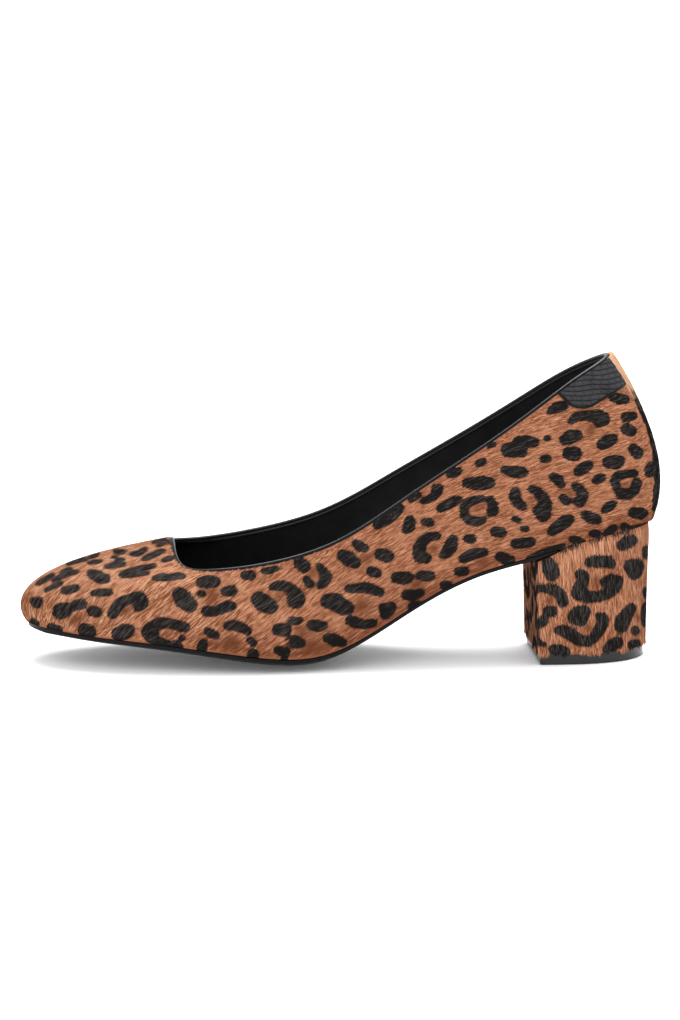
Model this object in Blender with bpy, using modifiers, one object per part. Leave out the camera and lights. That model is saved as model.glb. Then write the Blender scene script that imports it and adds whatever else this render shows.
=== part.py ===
"""Left block-heel pump in hair-on hide, standing on its heel and forefoot.

Toe towards -X, heel towards +X, outer side of the foot at -Y, +Z up, floor at z = 0.
The upper is a wall swept around the foot: each section runs from the edge of the sole
to the topline, and tabs and back strip are patches of that same wall.
"""

import bmesh
import bpy
import numpy as np
from mathutils import Vector

MM = 0.001

# Driving dimensions, with the sizes that the section table below is measured at
LENGTH, TABLE_LENGTH = 240 * MM, 240
BALL_WIDTH, TABLE_BALL_WIDTH = 77 * MM, 77
BACK_HEIGHT, TABLE_BACK_HEIGHT = 115 * MM, 115

GAP = 0.3 * MM
WALL = 1.8 * MM
BINDING_RADIUS = 1.2 * MM
SOLE_EDGE = 2.0 * MM
SOLE_OVERHANG = 0.5 * MM
SOLE_TOE_INSET = -0.9 * MM
SOLE_FULL_SHARE = 0.3
INSOLE_THICKNESS = 1.6 * MM
OVERLAY_THICKNESS = 0.8 * MM
TAB_LENGTH = 28.5 * MM
TAB_TIP = 3.5 * MM
TAB_DEPTH = 11.4 * MM
TAB_REAR = 10.4 * MM
TAB_ROUND = 0.26
STRIP_HALF_WIDTH = 4.5 * MM
BREAST_TOP = 72.2 * MM
BREAST_BOTTOM = 72.8 * MM
SOLE_TONGUE_END = 79.5 * MM
SOLE_TONGUE_EDGE = 0.7 * MM
SEAT_RAMP = 4 * MM
CROWN_FADE = 14 * MM
HEEL_BACK_BOTTOM = 116.4 * MM
HEEL_HALF_WIDTH_BOTTOM = 24 * MM
HEEL_INSET = 0.3 * MM
LIFT_THICKNESS = 4.5 * MM
LIFT_INSET = 0.9 * MM

# One row for each section around the foot, in millimetres, from the toe to the back.
# Foot columns lie on the edge of the sole and top columns on the finished topline. The
# handles bend the wall between: lean and rise at the sole, reach and drop at the topline.
SECTION_COLUMNS = (
    "foot_x", "foot_outer", "foot_inner", "foot_outer_z", "foot_inner_z",
    "top_x", "top_outer", "top_inner", "top_outer_z", "top_inner_z",
    "lean", "rise", "reach", "drop",
)
SECTIONS = (
    (-118.6, 4.0, 4.0, 14.8, 14.8, -62.6, 3.0, 3.0, 45.6, 45.6, 10.0, 15.0, 34.0, 5.0),
    (-112.0, -12.0, 18.5, 14.8, 14.8, -62.5, -9.0, 15.0, 44.2, 44.4, 9.0, 14.5, 29.0, 5.5),
    (-96.0, -22.0, 29.0, 13.2, 13.2, -59.8, -20.5, 25.5, 39.8, 42.4, 7.0, 13.5, 18.0, 5.5),
    (-72.0, -29.0, 36.5, 11.2, 11.0, -50.0, -27.2, 31.0, 39.2, 42.2, 5.0, 13.0, 8.0, 9.0),
    (-36.0, -33.5, 39.0, 6.6, 6.6, -34.0, -30.2, 33.5, 41.0, 44.0, 5.0, 12.0, 4.0, 11.0),
    (-8.0, -31.0, 34.0, 6.4, 7.0, -8.0, -29.8, 31.5, 47.6, 50.8, 4.5, 14.0, 3.5, 14.0),
    (22.0, -26.0, 25.5, 21.2, 22.5, 22.0, -27.5, 28.5, 65.0, 66.6, 5.0, 14.0, 3.0, 15.0),
    (52.0, -25.5, 23.5, 36.5, 37.6, 52.0, -25.0, 25.5, 84.4, 84.4, 4.5, 16.0, 4.0, 17.0),
    (74.0, -26.5, 25.5, 42.8, 42.8, 71.0, -21.5, 22.0, 97.2, 96.6, 4.0, 18.0, 5.5, 19.0),
    (95.0, -25.0, 24.5, 48.6, 48.6, 88.0, -15.0, 15.5, 108.4, 107.8, 4.5, 19.0, 8.0, 20.0),
    (110.5, -16.5, 16.5, 50.9, 50.9, 98.0, -7.8, 7.8, 113.6, 113.4, 6.5, 20.0, 10.5, 19.5),
    (117.4, 0.0, 0.0, 51.2, 51.2, 101.2, 0.0, 0.0, 115.3, 115.3, 8.4, 20.5, 11.8, 19.0),
)

# How far the middle of the sole's underside lies below its edge: rows of x and crown, in millimetres
CROWNS = ((-117, 0.0), (-100, 1.5), (-72, 3.2), (-38, 4.6), (-8, 4.6), (14, 2.4), (40, 1.0), (84, 0.4))
TOP_CROWN_SHARE = 0.5
CROWN_POWER = 1.5

# Grid counts: along the piece, then across it
UPPER_GRID = (76, 14)
BINDING_POINTS = 84
OUTSOLE_GRID = (44, 8)
INSOLE_GRID = (32, 6)
HEEL_GRID = (10, 10)
TAB_GRID = (8, 5)
STRIP_GRID = (4, 14)

# Shares of the way around the foot where the sole's plan turns its corners, and how finely it is read
TOE_CORNER = 0.045
HEEL_CORNER = 0.455
EDGE_SAMPLES = 300
U_STEP = 0.0002
SHARP_ANGLE = 0.7

# Name of each finish: colour, roughness, metallic
FINISHES = {
    "spotted_hide": ((0.52, 0.22, 0.10, 1), 0.55, 0.0),
    "black_leather": ((0.012, 0.012, 0.013, 1), 0.38, 0.0),
    "black_embossed": ((0.014, 0.014, 0.015, 1), 0.30, 0.0),
    "black_sole": ((0.010, 0.010, 0.011, 1), 0.42, 0.0),
    "grey_rubber": ((0.030, 0.030, 0.032, 1), 0.35, 0.0),
    "black_lining": ((0.010, 0.010, 0.010, 1), 0.60, 0.0),
}


class LoopSpline:
    """Smooth closed curve through rows of numbers, with u running from 0 to 1 around it."""

    def __init__(self, rows, spacing):
        self.values = np.vstack([rows, rows[:1]])
        self.steps = spacing / spacing.sum()
        self.knots = np.concatenate([[0.0], np.cumsum(self.steps)])
        count = len(rows)
        before, after = np.roll(self.steps, 1), self.steps
        rises = np.diff(self.values, axis=0) / after[:, None]
        matrix = np.diag(2 * (before + after))
        for i in range(count):
            matrix[i, i - 1] += before[i]
            matrix[i, (i + 1) % count] += after[i]
        bends = np.linalg.solve(matrix, 6 * (rises - np.roll(rises, 1, axis=0)))
        self.bends = np.vstack([bends, bends[:1]])

    def at(self, u):
        u = u % 1.0
        i = min(int(np.searchsorted(self.knots, u, side="right")) - 1, len(self.steps) - 1)
        step = self.steps[i]
        b = (u - self.knots[i]) / step
        a = 1.0 - b
        line = a * self.values[i] + b * self.values[i + 1]
        return line + ((a**3 - a) * self.bends[i] + (b**3 - b) * self.bends[i + 1]) * step**2 / 6

    def slope(self, u, reach=1e-4):
        return (self.at(u + reach) - self.at(u - reach)) / (2 * reach)


def stations():
    """Rows of foot point, topline point and handles, once around from the toe by the outer side."""
    grade = np.array([LENGTH / TABLE_LENGTH, BALL_WIDTH / TABLE_BALL_WIDTH, BACK_HEIGHT / TABLE_BACK_HEIGHT])

    def station(values, side):
        row = dict(zip(SECTION_COLUMNS, values))
        foot = grade * (row["foot_x"], row["foot_" + side], row["foot_" + side + "_z"])
        top = grade * (row["top_x"], row["top_" + side], row["top_" + side + "_z"])
        handles = np.array([row["lean"], row["rise"], row["reach"], row["drop"]]) * MM
        return np.concatenate([foot, top, handles])

    outer = [station(values, "outer") for values in SECTIONS]
    inner = [station(values, "inner") for values in SECTIONS[-2:0:-1]]
    return np.array(outer + inner)


def station_loop():
    rows = stations()
    foot_steps = np.linalg.norm(np.roll(rows, -1, axis=0)[:, 0:3] - rows[:, 0:3], axis=1)
    top_steps = np.linalg.norm(np.roll(rows, -1, axis=0)[:, 3:6] - rows[:, 3:6], axis=1)
    return LoopSpline(rows, foot_steps + top_steps)


LOOP = station_loop()
UP = np.array([0.0, 0.0, 1.0])


def outward(slope):
    """Level direction to the right of a loop's run, which is away from the foot."""
    direction = np.array([slope[1], -slope[0], 0.0])
    return direction / np.linalg.norm(direction)


def wall_controls(u):
    """Four control points of the section at u, ending under the binding."""
    row, slope = LOOP.at(u), LOOP.slope(u)
    foot, top = row[0:3], row[3:6]
    lean, rise, reach, drop = row[6:10]
    low = foot + outward(slope[0:2]) * lean + UP * rise
    high = top + outward(slope[3:5]) * reach - UP * drop
    lower = (top - high) / np.linalg.norm(top - high) * (2 * BINDING_RADIUS + GAP)
    return foot, low, high - lower, top - lower


def wall_point(u, t):
    """Outer face of the upper: u goes around the foot, t from the sole (0) to the topline (1)."""
    foot, low, high, top = wall_controls(u)
    s = 1.0 - t
    return s**3 * foot + 3 * s * s * t * low + 3 * s * t * t * high + t**3 * top


def wall_normal(u, t, reach=1e-4):
    around = wall_point(u + reach, t) - wall_point(u - reach, t)
    rising = wall_point(u, min(t + reach, 1.0)) - wall_point(u, max(t - reach, 0.0))
    normal = np.cross(around, rising)
    return normal / np.linalg.norm(normal)


def wall_length(u):
    points = np.array([wall_point(u, t) for t in np.linspace(0, 1, 13)])
    return np.linalg.norm(np.diff(points, axis=0), axis=1).sum()


def foot_edge(u, offset=0.0):
    """Point on the edge of the sole, moved outward by offset."""
    return LOOP.at(u)[0:3] + outward(LOOP.slope(u)[0:2]) * offset


def side_u(x, outer_side):
    """Where the edge of the sole passes x, on the outer or the inner side."""
    low, high = (0.0, BACK_U) if outer_side else (1.0, BACK_U)
    for _ in range(40):
        middle = (low + high) / 2
        low, high = (middle, high) if LOOP.at(middle)[0] < x else (low, middle)
    return (low + high) / 2


BACK_U = float(LOOP.knots[len(SECTIONS) - 1])
EDGE_OUTER = np.array([LOOP.at(u)[0:3] for u in np.linspace(0, BACK_U, EDGE_SAMPLES)])
EDGE_INNER = np.array([LOOP.at(u)[0:3] for u in np.linspace(1, BACK_U, EDGE_SAMPLES)])


def seat_height(x, y, crown_share):
    """Height of the foot's bed at x, y: level with the edges, and lower between them by its crown."""
    y_outer, z_outer = (np.interp(x, EDGE_OUTER[:, 0], EDGE_OUTER[:, k]) for k in (1, 2))
    y_inner, z_inner = (np.interp(x, EDGE_INNER[:, 0], EDGE_INNER[:, k]) for k in (1, 2))
    share = np.clip((y - y_outer) / max(y_inner - y_outer, MM), 0, 1)
    crowns = np.array(CROWNS) * MM
    crown = np.interp(x, crowns[:, 0], crowns[:, 1]) * (1 - abs(2 * share - 1) ** CROWN_POWER)
    return z_outer + share * (z_inner - z_outer) - crown_share * crown


def coons(outer, inner, front, back):
    """Sheet spanned by two sides (s from front to back) and two ends (r from outer to inner)."""

    def sheet(s, r):
        sides = (1 - r) * outer(s) + r * inner(s)
        ends = (1 - s) * front(r) + s * back(r)
        corners = (1 - s) * ((1 - r) * front(0) + r * front(1)) + s * ((1 - r) * back(0) + r * back(1))
        return sides + ends - corners

    return sheet


def edge_run(start, stop, offset):
    """Run along the edge of the sole from u = start to u = stop, as a function of 0 to 1."""

    def run(s):
        return foot_edge(start + s * (stop - start), offset(s) if callable(offset) else offset)

    return run


def straight(start, stop):
    return lambda r: start + r * (stop - start)


def finish(name):
    colour, roughness, metallic = FINISHES[name]
    material = bpy.data.materials.get(name) or bpy.data.materials.new(name)
    material.use_nodes = True
    shader = material.node_tree.nodes["Principled BSDF"]
    shader.inputs["Base Color"].default_value = colour
    shader.inputs["Roughness"].default_value = roughness
    shader.inputs["Metallic"].default_value = metallic
    return material


def add_part(name, data, finish_name):
    part = bpy.data.objects.new(name, data)
    part.data.materials.append(finish(finish_name))
    PARTS.objects.link(part)
    return part


def deformed_grid(counts, place):
    """Grid whose corners run over 0 to 1 both ways, with each vertex moved to place(a, b)."""
    bm = bmesh.new()
    bmesh.ops.create_grid(bm, x_segments=counts[0], y_segments=counts[1], size=1.0)
    for vertex in bm.verts:
        vertex.co = Vector(place((vertex.co.x + 1) / 2, (vertex.co.y + 1) / 2))
    return bm


def slab(name, counts, top, bottom, finish_name):
    """Closed solid between two sheets of the same spread."""
    bm = bmesh.new()
    bmesh.ops.create_grid(bm, x_segments=counts[0], y_segments=counts[1], size=1.0)
    shares = {v: ((v.co.x + 1) / 2, (v.co.y + 1) / 2) for v in bm.verts}
    extruded = bmesh.ops.extrude_face_region(bm, geom=bm.faces[:], use_keep_orig=True)
    for vertex in (g for g in extruded["geom"] if isinstance(g, bmesh.types.BMVert)):
        vertex.co = Vector(bottom((vertex.co.x + 1) / 2, (vertex.co.y + 1) / 2))
    for vertex, (s, r) in shares.items():
        vertex.co = Vector(top(s, r))
    bmesh.ops.recalc_face_normals(bm, faces=bm.faces)
    mesh = bpy.data.meshes.new(name)
    bm.to_mesh(mesh)
    bm.free()
    mesh.shade_smooth()
    mesh.set_sharp_from_angle(angle=SHARP_ANGLE)
    return add_part(name, mesh, finish_name)


def shell(part, thickness, offset):
    solidify = part.modifiers.new("Wall", "SOLIDIFY")
    solidify.thickness = thickness
    solidify.offset = offset
    solidify.use_even_offset = True
    return part


def wall_mesh(bm, name, u, t):
    """Mesh of an open patch of the wall, turned so that its face at u, t looks away from the foot."""
    bm.normal_update()
    point = Vector(wall_point(u, t))
    nearest = min(bm.faces, key=lambda face: (face.calc_center_median() - point).length)
    if nearest.normal.dot(Vector(wall_normal(u, t))) < 0:
        bmesh.ops.reverse_faces(bm, faces=bm.faces)
    mesh = bpy.data.meshes.new(name)
    bm.to_mesh(mesh)
    bm.free()
    mesh.shade_smooth()
    return mesh


def make_upper():
    bm = deformed_grid(UPPER_GRID, wall_point)
    bmesh.ops.remove_doubles(bm, verts=bm.verts, dist=0.01 * MM)
    return shell(add_part("upper", wall_mesh(bm, "upper", BACK_U / 2, 0.5), "spotted_hide"), WALL, -1)


def make_binding():
    """Round bead that closes the cut edge along the topline."""
    curve = bpy.data.curves.new("topline_binding", "CURVE")
    curve.dimensions = "3D"
    curve.bevel_depth = BINDING_RADIUS
    curve.bevel_resolution = 2
    spline = curve.splines.new("POLY")
    spline.points.add(BINDING_POINTS - 1)
    spline.use_cyclic_u = True
    for i, point in enumerate(spline.points):
        u = i / BINDING_POINTS
        _, _, high, rim = wall_controls(u)
        rising = (rim - high) / np.linalg.norm(rim - high)
        centre = rim - wall_normal(u, 1.0) * WALL / 2 + rising * (BINDING_RADIUS + GAP)
        point.co = (*centre, 1.0)
    return add_part("topline_binding", curve, "black_leather")


def patch(name, counts, spread, finish_name):
    """Overlay on the wall, where spread turns the grid's two shares into u and t."""

    def place(a, b):
        u, t = spread(a, b)
        return wall_point(u, t) + wall_normal(u, t) * GAP

    mesh = wall_mesh(deformed_grid(counts, place), name, *spread(0.5, 0.5))
    return shell(add_part(name, mesh, finish_name), OVERLAY_THICKNESS, 1)


def u_from_back(distance, t):
    """The u at a distance from the back centre along the wall at height t, negative on the outer side."""
    u, run = BACK_U, 0.0
    step = np.copysign(U_STEP, distance)
    while run < abs(distance):
        run += np.linalg.norm(wall_point(u + step, t) - wall_point(u, t))
        u += step
    return u


def make_heel_tab(name, side):
    """Reinforcing tab under the topline, deep at the back strip and rounded off towards its front."""

    def spread(a, b):
        rounding = 1 - min(a / TAB_ROUND, 1)
        depth = TAB_TIP + (TAB_DEPTH - TAB_TIP) * np.sqrt(1 - rounding**2)
        depth -= (TAB_DEPTH - TAB_REAR) * max(a - TAB_ROUND, 0) / (1 - TAB_ROUND)
        t = 1.0 - (1.0 - b) * depth / wall_length(BACK_U)
        distance = STRIP_HALF_WIDTH + GAP + (1 - a) * TAB_LENGTH
        return u_from_back(side * distance, t), t

    return patch(name, TAB_GRID, spread, "black_embossed")


def make_back_strip():
    """Strip of even width over the seam at the back."""

    def spread(a, b):
        return u_from_back((2 * a - 1) * STRIP_HALF_WIDTH, b), b

    return patch("back_strip", STRIP_GRID, spread, "spotted_hide")


def sole_sheet():
    """Plan of the outsole, from the toe to the tongue that runs a little way over the heel."""
    outer_end, inner_end = side_u(SOLE_TONGUE_END, True), side_u(SOLE_TONGUE_END, False)

    def overhang(s):
        return np.interp(s, (0, SOLE_FULL_SHARE, 1), (SOLE_TOE_INSET, SOLE_OVERHANG, 0))

    outer = edge_run(TOE_CORNER, outer_end, overhang)
    inner = edge_run(1 - TOE_CORNER, inner_end, overhang)
    front = edge_run(TOE_CORNER, -TOE_CORNER, SOLE_TOE_INSET)
    return coons(outer, inner, front, straight(outer(1), inner(1)))


def tongue_thickness(x):
    """Thickness of the sole's edge: full as far as the heel breast, then skived."""
    share = np.clip((x - BREAST_TOP) / (SOLE_TONGUE_END - BREAST_TOP), 0, 1)
    return SOLE_EDGE + share * (SOLE_TONGUE_EDGE - SOLE_EDGE)


def make_outsole():
    sheet = sole_sheet()

    def top(s, r):
        x, y, _ = sheet(s, r)
        return x, y, seat_height(x, y, TOP_CROWN_SHARE) - GAP

    def bottom(s, r):
        x, y, _ = sheet(s, r)
        before_heel = np.clip((BREAST_TOP - 2 * SOLE_EDGE - x) / CROWN_FADE, 0, 1)
        low = seat_height(x, y, TOP_CROWN_SHARE + before_heel * (1 - TOP_CROWN_SHARE))
        return x, y, max(0.0, low - GAP - tongue_thickness(x))

    return slab("outsole", OUTSOLE_GRID, top, bottom, "black_sole")


def make_insole():
    inset = -(WALL + 2 * GAP)
    outer = edge_run(TOE_CORNER, HEEL_CORNER, inset)
    inner = edge_run(1 - TOE_CORNER, 1 - HEEL_CORNER, inset)
    front = edge_run(TOE_CORNER, -TOE_CORNER, inset)
    back = edge_run(HEEL_CORNER, 1 - HEEL_CORNER, inset)
    sheet = coons(outer, inner, front, back)

    def layer(lift):
        def place(s, r):
            x, y, _ = sheet(s, r)
            return x, y, seat_height(x, y, TOP_CROWN_SHARE) + lift

        return place

    return slab("insole", INSOLE_GRID, layer(GAP + INSOLE_THICKNESS), layer(GAP), "black_lining")


def heel_plan():
    """Plan of the heel's top, from its straight breast around the back of the seat."""
    outer_start, inner_start = side_u(BREAST_TOP, True), side_u(BREAST_TOP, False)
    outer = edge_run(outer_start, HEEL_CORNER, -HEEL_INSET)
    inner = edge_run(inner_start, 1 - HEEL_CORNER, -HEEL_INSET)
    back = edge_run(HEEL_CORNER, 1 - HEEL_CORNER, -HEEL_INSET)
    return coons(outer, inner, straight(outer(0), inner(0)), back)


def heel_foot(inset):
    """Plan of the heel at the floor: the top's plan drawn in to the lift's size."""
    plan = heel_plan()
    top_front, top_back = plan(0, 0.5)[0], plan(1, 0.5)[0]
    front, back = BREAST_BOTTOM + inset, HEEL_BACK_BOTTOM - inset
    shorten = (back - front) / (top_back - top_front)
    narrow = (HEEL_HALF_WIDTH_BOTTOM - inset) / abs(plan(0, 0)[1])

    def place(s, r, height):
        x, y, _ = plan(s, r)
        return front + (x - top_front) * shorten, y * narrow, height

    return place


def make_heel():
    plan, foot = heel_plan(), heel_foot(0.0)

    def top(s, r):
        x, y, _ = plan(s, r)
        behind_sole = np.clip((x - SOLE_TONGUE_END) / SEAT_RAMP, 0, 1)
        under_sole = (tongue_thickness(x) + GAP) * (1 - behind_sole)
        return x, y, seat_height(x, y, TOP_CROWN_SHARE) - GAP - under_sole

    return slab("heel_block", HEEL_GRID, top, lambda s, r: foot(s, r, LIFT_THICKNESS + GAP), "spotted_hide")


def make_lift():
    foot = heel_foot(LIFT_INSET)
    return slab(
        "heel_lift", HEEL_GRID,
        lambda s, r: foot(s, r, LIFT_THICKNESS), lambda s, r: foot(s, r, 0.0), "grey_rubber",
    )


def centre_on_origin():
    """Move every piece so that the origin is under the middle of the shoe's box."""
    graph = bpy.context.evaluated_depsgraph_get()
    spans = []
    for part in PARTS.objects:
        shape = part.evaluated_get(graph)
        points = np.array([vertex.co for vertex in shape.to_mesh().vertices])
        shape.to_mesh_clear()
        spans += [points.min(axis=0), points.max(axis=0)]
    middle = (np.min(spans, axis=0) + np.max(spans, axis=0)) / 2
    for part in PARTS.objects:
        part.location = (-middle[0], -middle[1], 0.0)


for old in list(bpy.data.objects):
    bpy.data.objects.remove(old, do_unlink=True)
PARTS = bpy.data.collections.new("block_heel_pump")
bpy.context.scene.collection.children.link(PARTS)
make_upper()
make_binding()
make_heel_tab("heel_tab_outer", -1)
make_heel_tab("heel_tab_inner", 1)
make_back_strip()
make_outsole()
make_insole()
make_heel()
make_lift()
centre_on_origin()
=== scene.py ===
import math

import bpy
import numpy as np
from bpy.props import FloatProperty, FloatVectorProperty, IntProperty, PointerProperty
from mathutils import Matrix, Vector


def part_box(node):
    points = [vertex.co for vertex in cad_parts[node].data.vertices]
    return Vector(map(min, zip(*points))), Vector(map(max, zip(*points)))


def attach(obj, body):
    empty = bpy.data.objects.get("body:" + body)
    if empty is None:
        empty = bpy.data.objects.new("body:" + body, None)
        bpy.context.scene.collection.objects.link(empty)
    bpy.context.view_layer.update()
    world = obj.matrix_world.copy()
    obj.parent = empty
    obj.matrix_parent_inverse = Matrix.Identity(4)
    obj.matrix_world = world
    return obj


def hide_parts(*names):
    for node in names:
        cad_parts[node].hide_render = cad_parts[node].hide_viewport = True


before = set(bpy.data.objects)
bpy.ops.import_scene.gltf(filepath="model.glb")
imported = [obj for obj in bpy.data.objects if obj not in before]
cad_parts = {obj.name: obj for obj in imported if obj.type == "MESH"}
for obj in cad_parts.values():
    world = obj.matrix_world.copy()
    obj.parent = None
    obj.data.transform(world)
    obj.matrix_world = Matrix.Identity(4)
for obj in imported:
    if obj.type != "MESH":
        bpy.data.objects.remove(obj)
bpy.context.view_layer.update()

bl_info = {
    "name": "Spotted block-heel pump",
    "version": (1, 0, 0),
    "blender": (4, 5, 0),
    "location": "3D View > Sidebar > Pump",
    "description": "Dresses the solids of a block-heel pump in hair-on hide, lining, binding and sole",
    "category": "Object",
}

MM = 0.001

# Small numbers: the step of slopes, the least length to divide by, nudges that settle a direction, and
# how often a search halves its range
SLOPE_STEP = 1e-4
LEAST_LENGTH = 1e-12
LEVEL_NUDGE = 1e-9
STAMP_NUDGE = (1e-6, 0, 0)
HALVINGS = 40

# Grids that pieces are made on: points around the foot or along a piece, then up or across it
UPPER_GRID = (440, 45)
LINING_GRID = (220, 29)
TAB_GRID = (131, 71)
STRIP_GRID = (29, 121)
SOLE_GRID = (181, 27)
SEAM_GRID = (120, 5)
BINDING_GRID = (480, 15)
SHIFT_GRID = (400, 60)
SCATTER_GRID = (280, 40)
SCATTER_HEIGHTS = (0.03, 0.97)

# Points of the heel's plan on its sides, at a corner and on the breast, rings of its pieces, and points
# of the hair's own grids
HEEL_SIDE_POINTS = 170
HEEL_CORNER_POINTS = 8
BREAST_POINTS = 40
HEEL_RINGS = 45
HEEL_HAIR_RINGS = 50
HEEL_SCATTER_RINGS = 40
LIFT_RINGS = 4
HAIR_LEVELS = 65
FOREPART_ROWS = 120
SIDE_ROWS = 200

# Sizes of the solids that the pieces follow
GAP = 0.3 * MM
WALL = 1.8 * MM
BINDING_RADIUS = 1.2 * MM
SOLE_EDGE = 2.0 * MM
SOLE_OVERHANG = 0.5 * MM
SOLE_TOE_INSET = -0.9 * MM
SOLE_FULL_SHARE = 0.3
INSOLE_THICKNESS = 1.6 * MM
SOCK_LAP = 0.3 * MM
OVERLAY_THICKNESS = 0.8 * MM
TAB_LENGTH = 28.5 * MM
TAB_TIP = 3.5 * MM
TAB_DEPTH = 11.4 * MM
TAB_REAR = 10.4 * MM
TAB_ROUND = 0.26
STRIP_HALF_WIDTH = 4.5 * MM
BREAST_TOP = 72.2 * MM
BREAST_BOTTOM = 72.8 * MM
SOLE_TONGUE_END = 79.5 * MM
SOLE_TONGUE_EDGE = 0.7 * MM
SEAT_RAMP = 4 * MM
CROWN_FADE = 14 * MM
HEEL_BACK_BOTTOM = 116.4 * MM
HEEL_HALF_WIDTH_BOTTOM = 24 * MM
HEEL_INSET = 0.3 * MM
LIFT_THICKNESS = 4.5 * MM

# The sole thins towards its edge, the lift is set in a little, and cut edges are eased
SOLE_THINNING = 0.7 * MM
SOLE_BEVEL = 7 * MM
LEAST_THINNING = 0.3
LIFT_INSET = 0.9 * MM
EASED_EDGE = 0.3 * MM
EASED_ANGLE = 0.8

# How far pieces go up or in behind their neighbours, less for the hide at the throat
BINDING_TUCK = 1.1 * MM
THROAT_DROP = 0.6 * MM
THROAT_SHARE = 0.14
LINING_TUCK = 1.6 * MM
LINING_GAP = 0.02 * MM
TAB_TUCK = 1.5 * MM
STRIP_TUCK = 1.6 * MM
OVERLAY_UNDERSIDE = 0.1 * MM

# Bead of the binding, which swells at the back, and the strips beside it: out from the wall's face and
# up from its rim, in millimetres
BEAD_RADIUS = 0.62 * MM
BEAD_SWELL = 0.3 * MM
BEAD_SWELL_SHARE = 0.1
BEAD_TURN = (-40, 220)
BINDING_OUTER = ((-0.3, 0.2), (-0.1, 0.4), (-0.08, 1.2))
BINDING_INNER = ((-1.95, 1.3), (-2.12, 1.0), (-2.15, 0.5), (-2.05, 0.32), (-1.75, 0.3))
INNER_SHINE = 0.3
PUCKERS = 190
PUCKER_HEIGHT = 0.02 * MM

# Embossing of the tabs: a plain rim inside a groove, then rows of scales that wave and stray a little
TAB_ROUNDING = 0.7 * MM
TAB_EDGE_LEVEL = 0.45
TAB_RIM = 0.65 * MM
RIM_BLEND = 0.3 * MM
RIM_LEVEL = 0.75
RIM_LINE = 0.25 * MM
RIM_LINE_CORE = 1.6
SCALE_ASPECT = 0.6
ROW_WAVE = 0.12
ROW_WAVE_LENGTH = 1.9 * MM
SCALE_STRAY = 0.1
SCALE_STRAY_TURN = 2.3
SCALE_TILT = 0.15
SCALE_SINK = 0.6
LINE_SINK = 0.4
# Painted shadow, not relief: where the grooves between rows and ends of scales are darkened, and how dark
ROW_GROOVE = (0.62, 0.92)
ROW_GROOVE_SHADOW = 0.8
END_GROOVE = (0.8, 1.0)
END_GROOVE_SHADOW = 0.4
TAB_BACK_SHARE = 0.965
TAB_BACK_RIM = 0.02
# Painted shade along the tab's rim band
RIM_PAINTED_SHADE = 0.6

# Back strip, by shares of its height: where it is black, where its edges stop being black, where it laps
# over the tabs and where painted rim light pales it. Then come its sizes, and its levels as shares of its
# thickness.
STRIP_BLACK = (0.07, 0.74)
STRIP_BARE = 0.8
STRIP_OVER_TABS = (0.66, 0.84)
STRIP_RIM_LIGHT = (0.7, 0.8)
STRIP_LAP = 1.8 * MM
STRIP_FOOT = 0.2 * MM
STRIP_ROUNDING = 1.2 * MM
STRIP_EDGE_LEVEL = 0.25
STRIP_LAP_LEVEL = 0.75
STRIP_LAP_CROWN = 0.4

# Shares of the way around the foot where the sole's plan turns its corners, and how finely it is read
TOE_CORNER = 0.045
HEEL_CORNER = 0.455
EDGE_SAMPLES = 400

# Sections around the foot in millimetres, from the toe to the back: foot columns on the edge of
# the sole, top columns on the topline, then the handles that bend the wall between them
SECTION_COLUMNS = (
    "foot_x", "foot_outer", "foot_inner", "foot_outer_z", "foot_inner_z",
    "top_x", "top_outer", "top_inner", "top_outer_z", "top_inner_z",
    "lean", "rise", "reach", "drop",
)
SECTIONS = (
    (-118.6, 4.0, 4.0, 14.8, 14.8, -62.6, 3.0, 3.0, 45.6, 45.6, 10.0, 15.0, 34.0, 5.0),
    (-112.0, -12.0, 18.5, 14.8, 14.8, -62.5, -9.0, 15.0, 44.2, 44.4, 9.0, 14.5, 29.0, 5.5),
    (-96.0, -22.0, 29.0, 13.2, 13.2, -59.8, -20.5, 25.5, 39.8, 42.4, 7.0, 13.5, 18.0, 5.5),
    (-72.0, -29.0, 36.5, 11.2, 11.0, -50.0, -27.2, 31.0, 39.2, 42.2, 5.0, 13.0, 8.0, 9.0),
    (-36.0, -33.5, 39.0, 6.6, 6.6, -34.0, -30.2, 33.5, 41.0, 44.0, 5.0, 12.0, 4.0, 11.0),
    (-8.0, -31.0, 34.0, 6.4, 7.0, -8.0, -29.8, 31.5, 47.6, 50.8, 4.5, 14.0, 3.5, 14.0),
    (22.0, -26.0, 25.5, 21.2, 22.5, 22.0, -27.5, 28.5, 65.0, 66.6, 5.0, 14.0, 3.0, 15.0),
    (52.0, -25.5, 23.5, 36.5, 37.6, 52.0, -25.0, 25.5, 84.4, 84.4, 4.5, 16.0, 4.0, 17.0),
    (74.0, -26.5, 25.5, 42.8, 42.8, 71.0, -21.5, 22.0, 97.2, 96.6, 4.0, 18.0, 5.5, 19.0),
    (95.0, -25.0, 24.5, 48.6, 48.6, 88.0, -15.0, 15.5, 108.4, 107.8, 4.5, 19.0, 8.0, 20.0),
    (110.5, -16.5, 16.5, 50.9, 50.9, 98.0, -7.8, 7.8, 113.6, 113.4, 6.5, 20.0, 10.5, 19.5),
    (117.4, 0.0, 0.0, 51.2, 51.2, 101.2, 0.0, 0.0, 115.3, 115.3, 8.4, 20.5, 11.8, 19.0),
)

# How far the middle of the sole's underside lies below its edge: rows of x and crown, in millimetres
CROWNS = ((-117, 0.0), (-100, 1.5), (-72, 3.2), (-38, 4.6), (-8, 4.6), (14, 2.4), (40, 1.0), (84, 0.4))
TOP_CROWN_SHARE = 0.5
CROWN_POWER = 1.5

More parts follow.
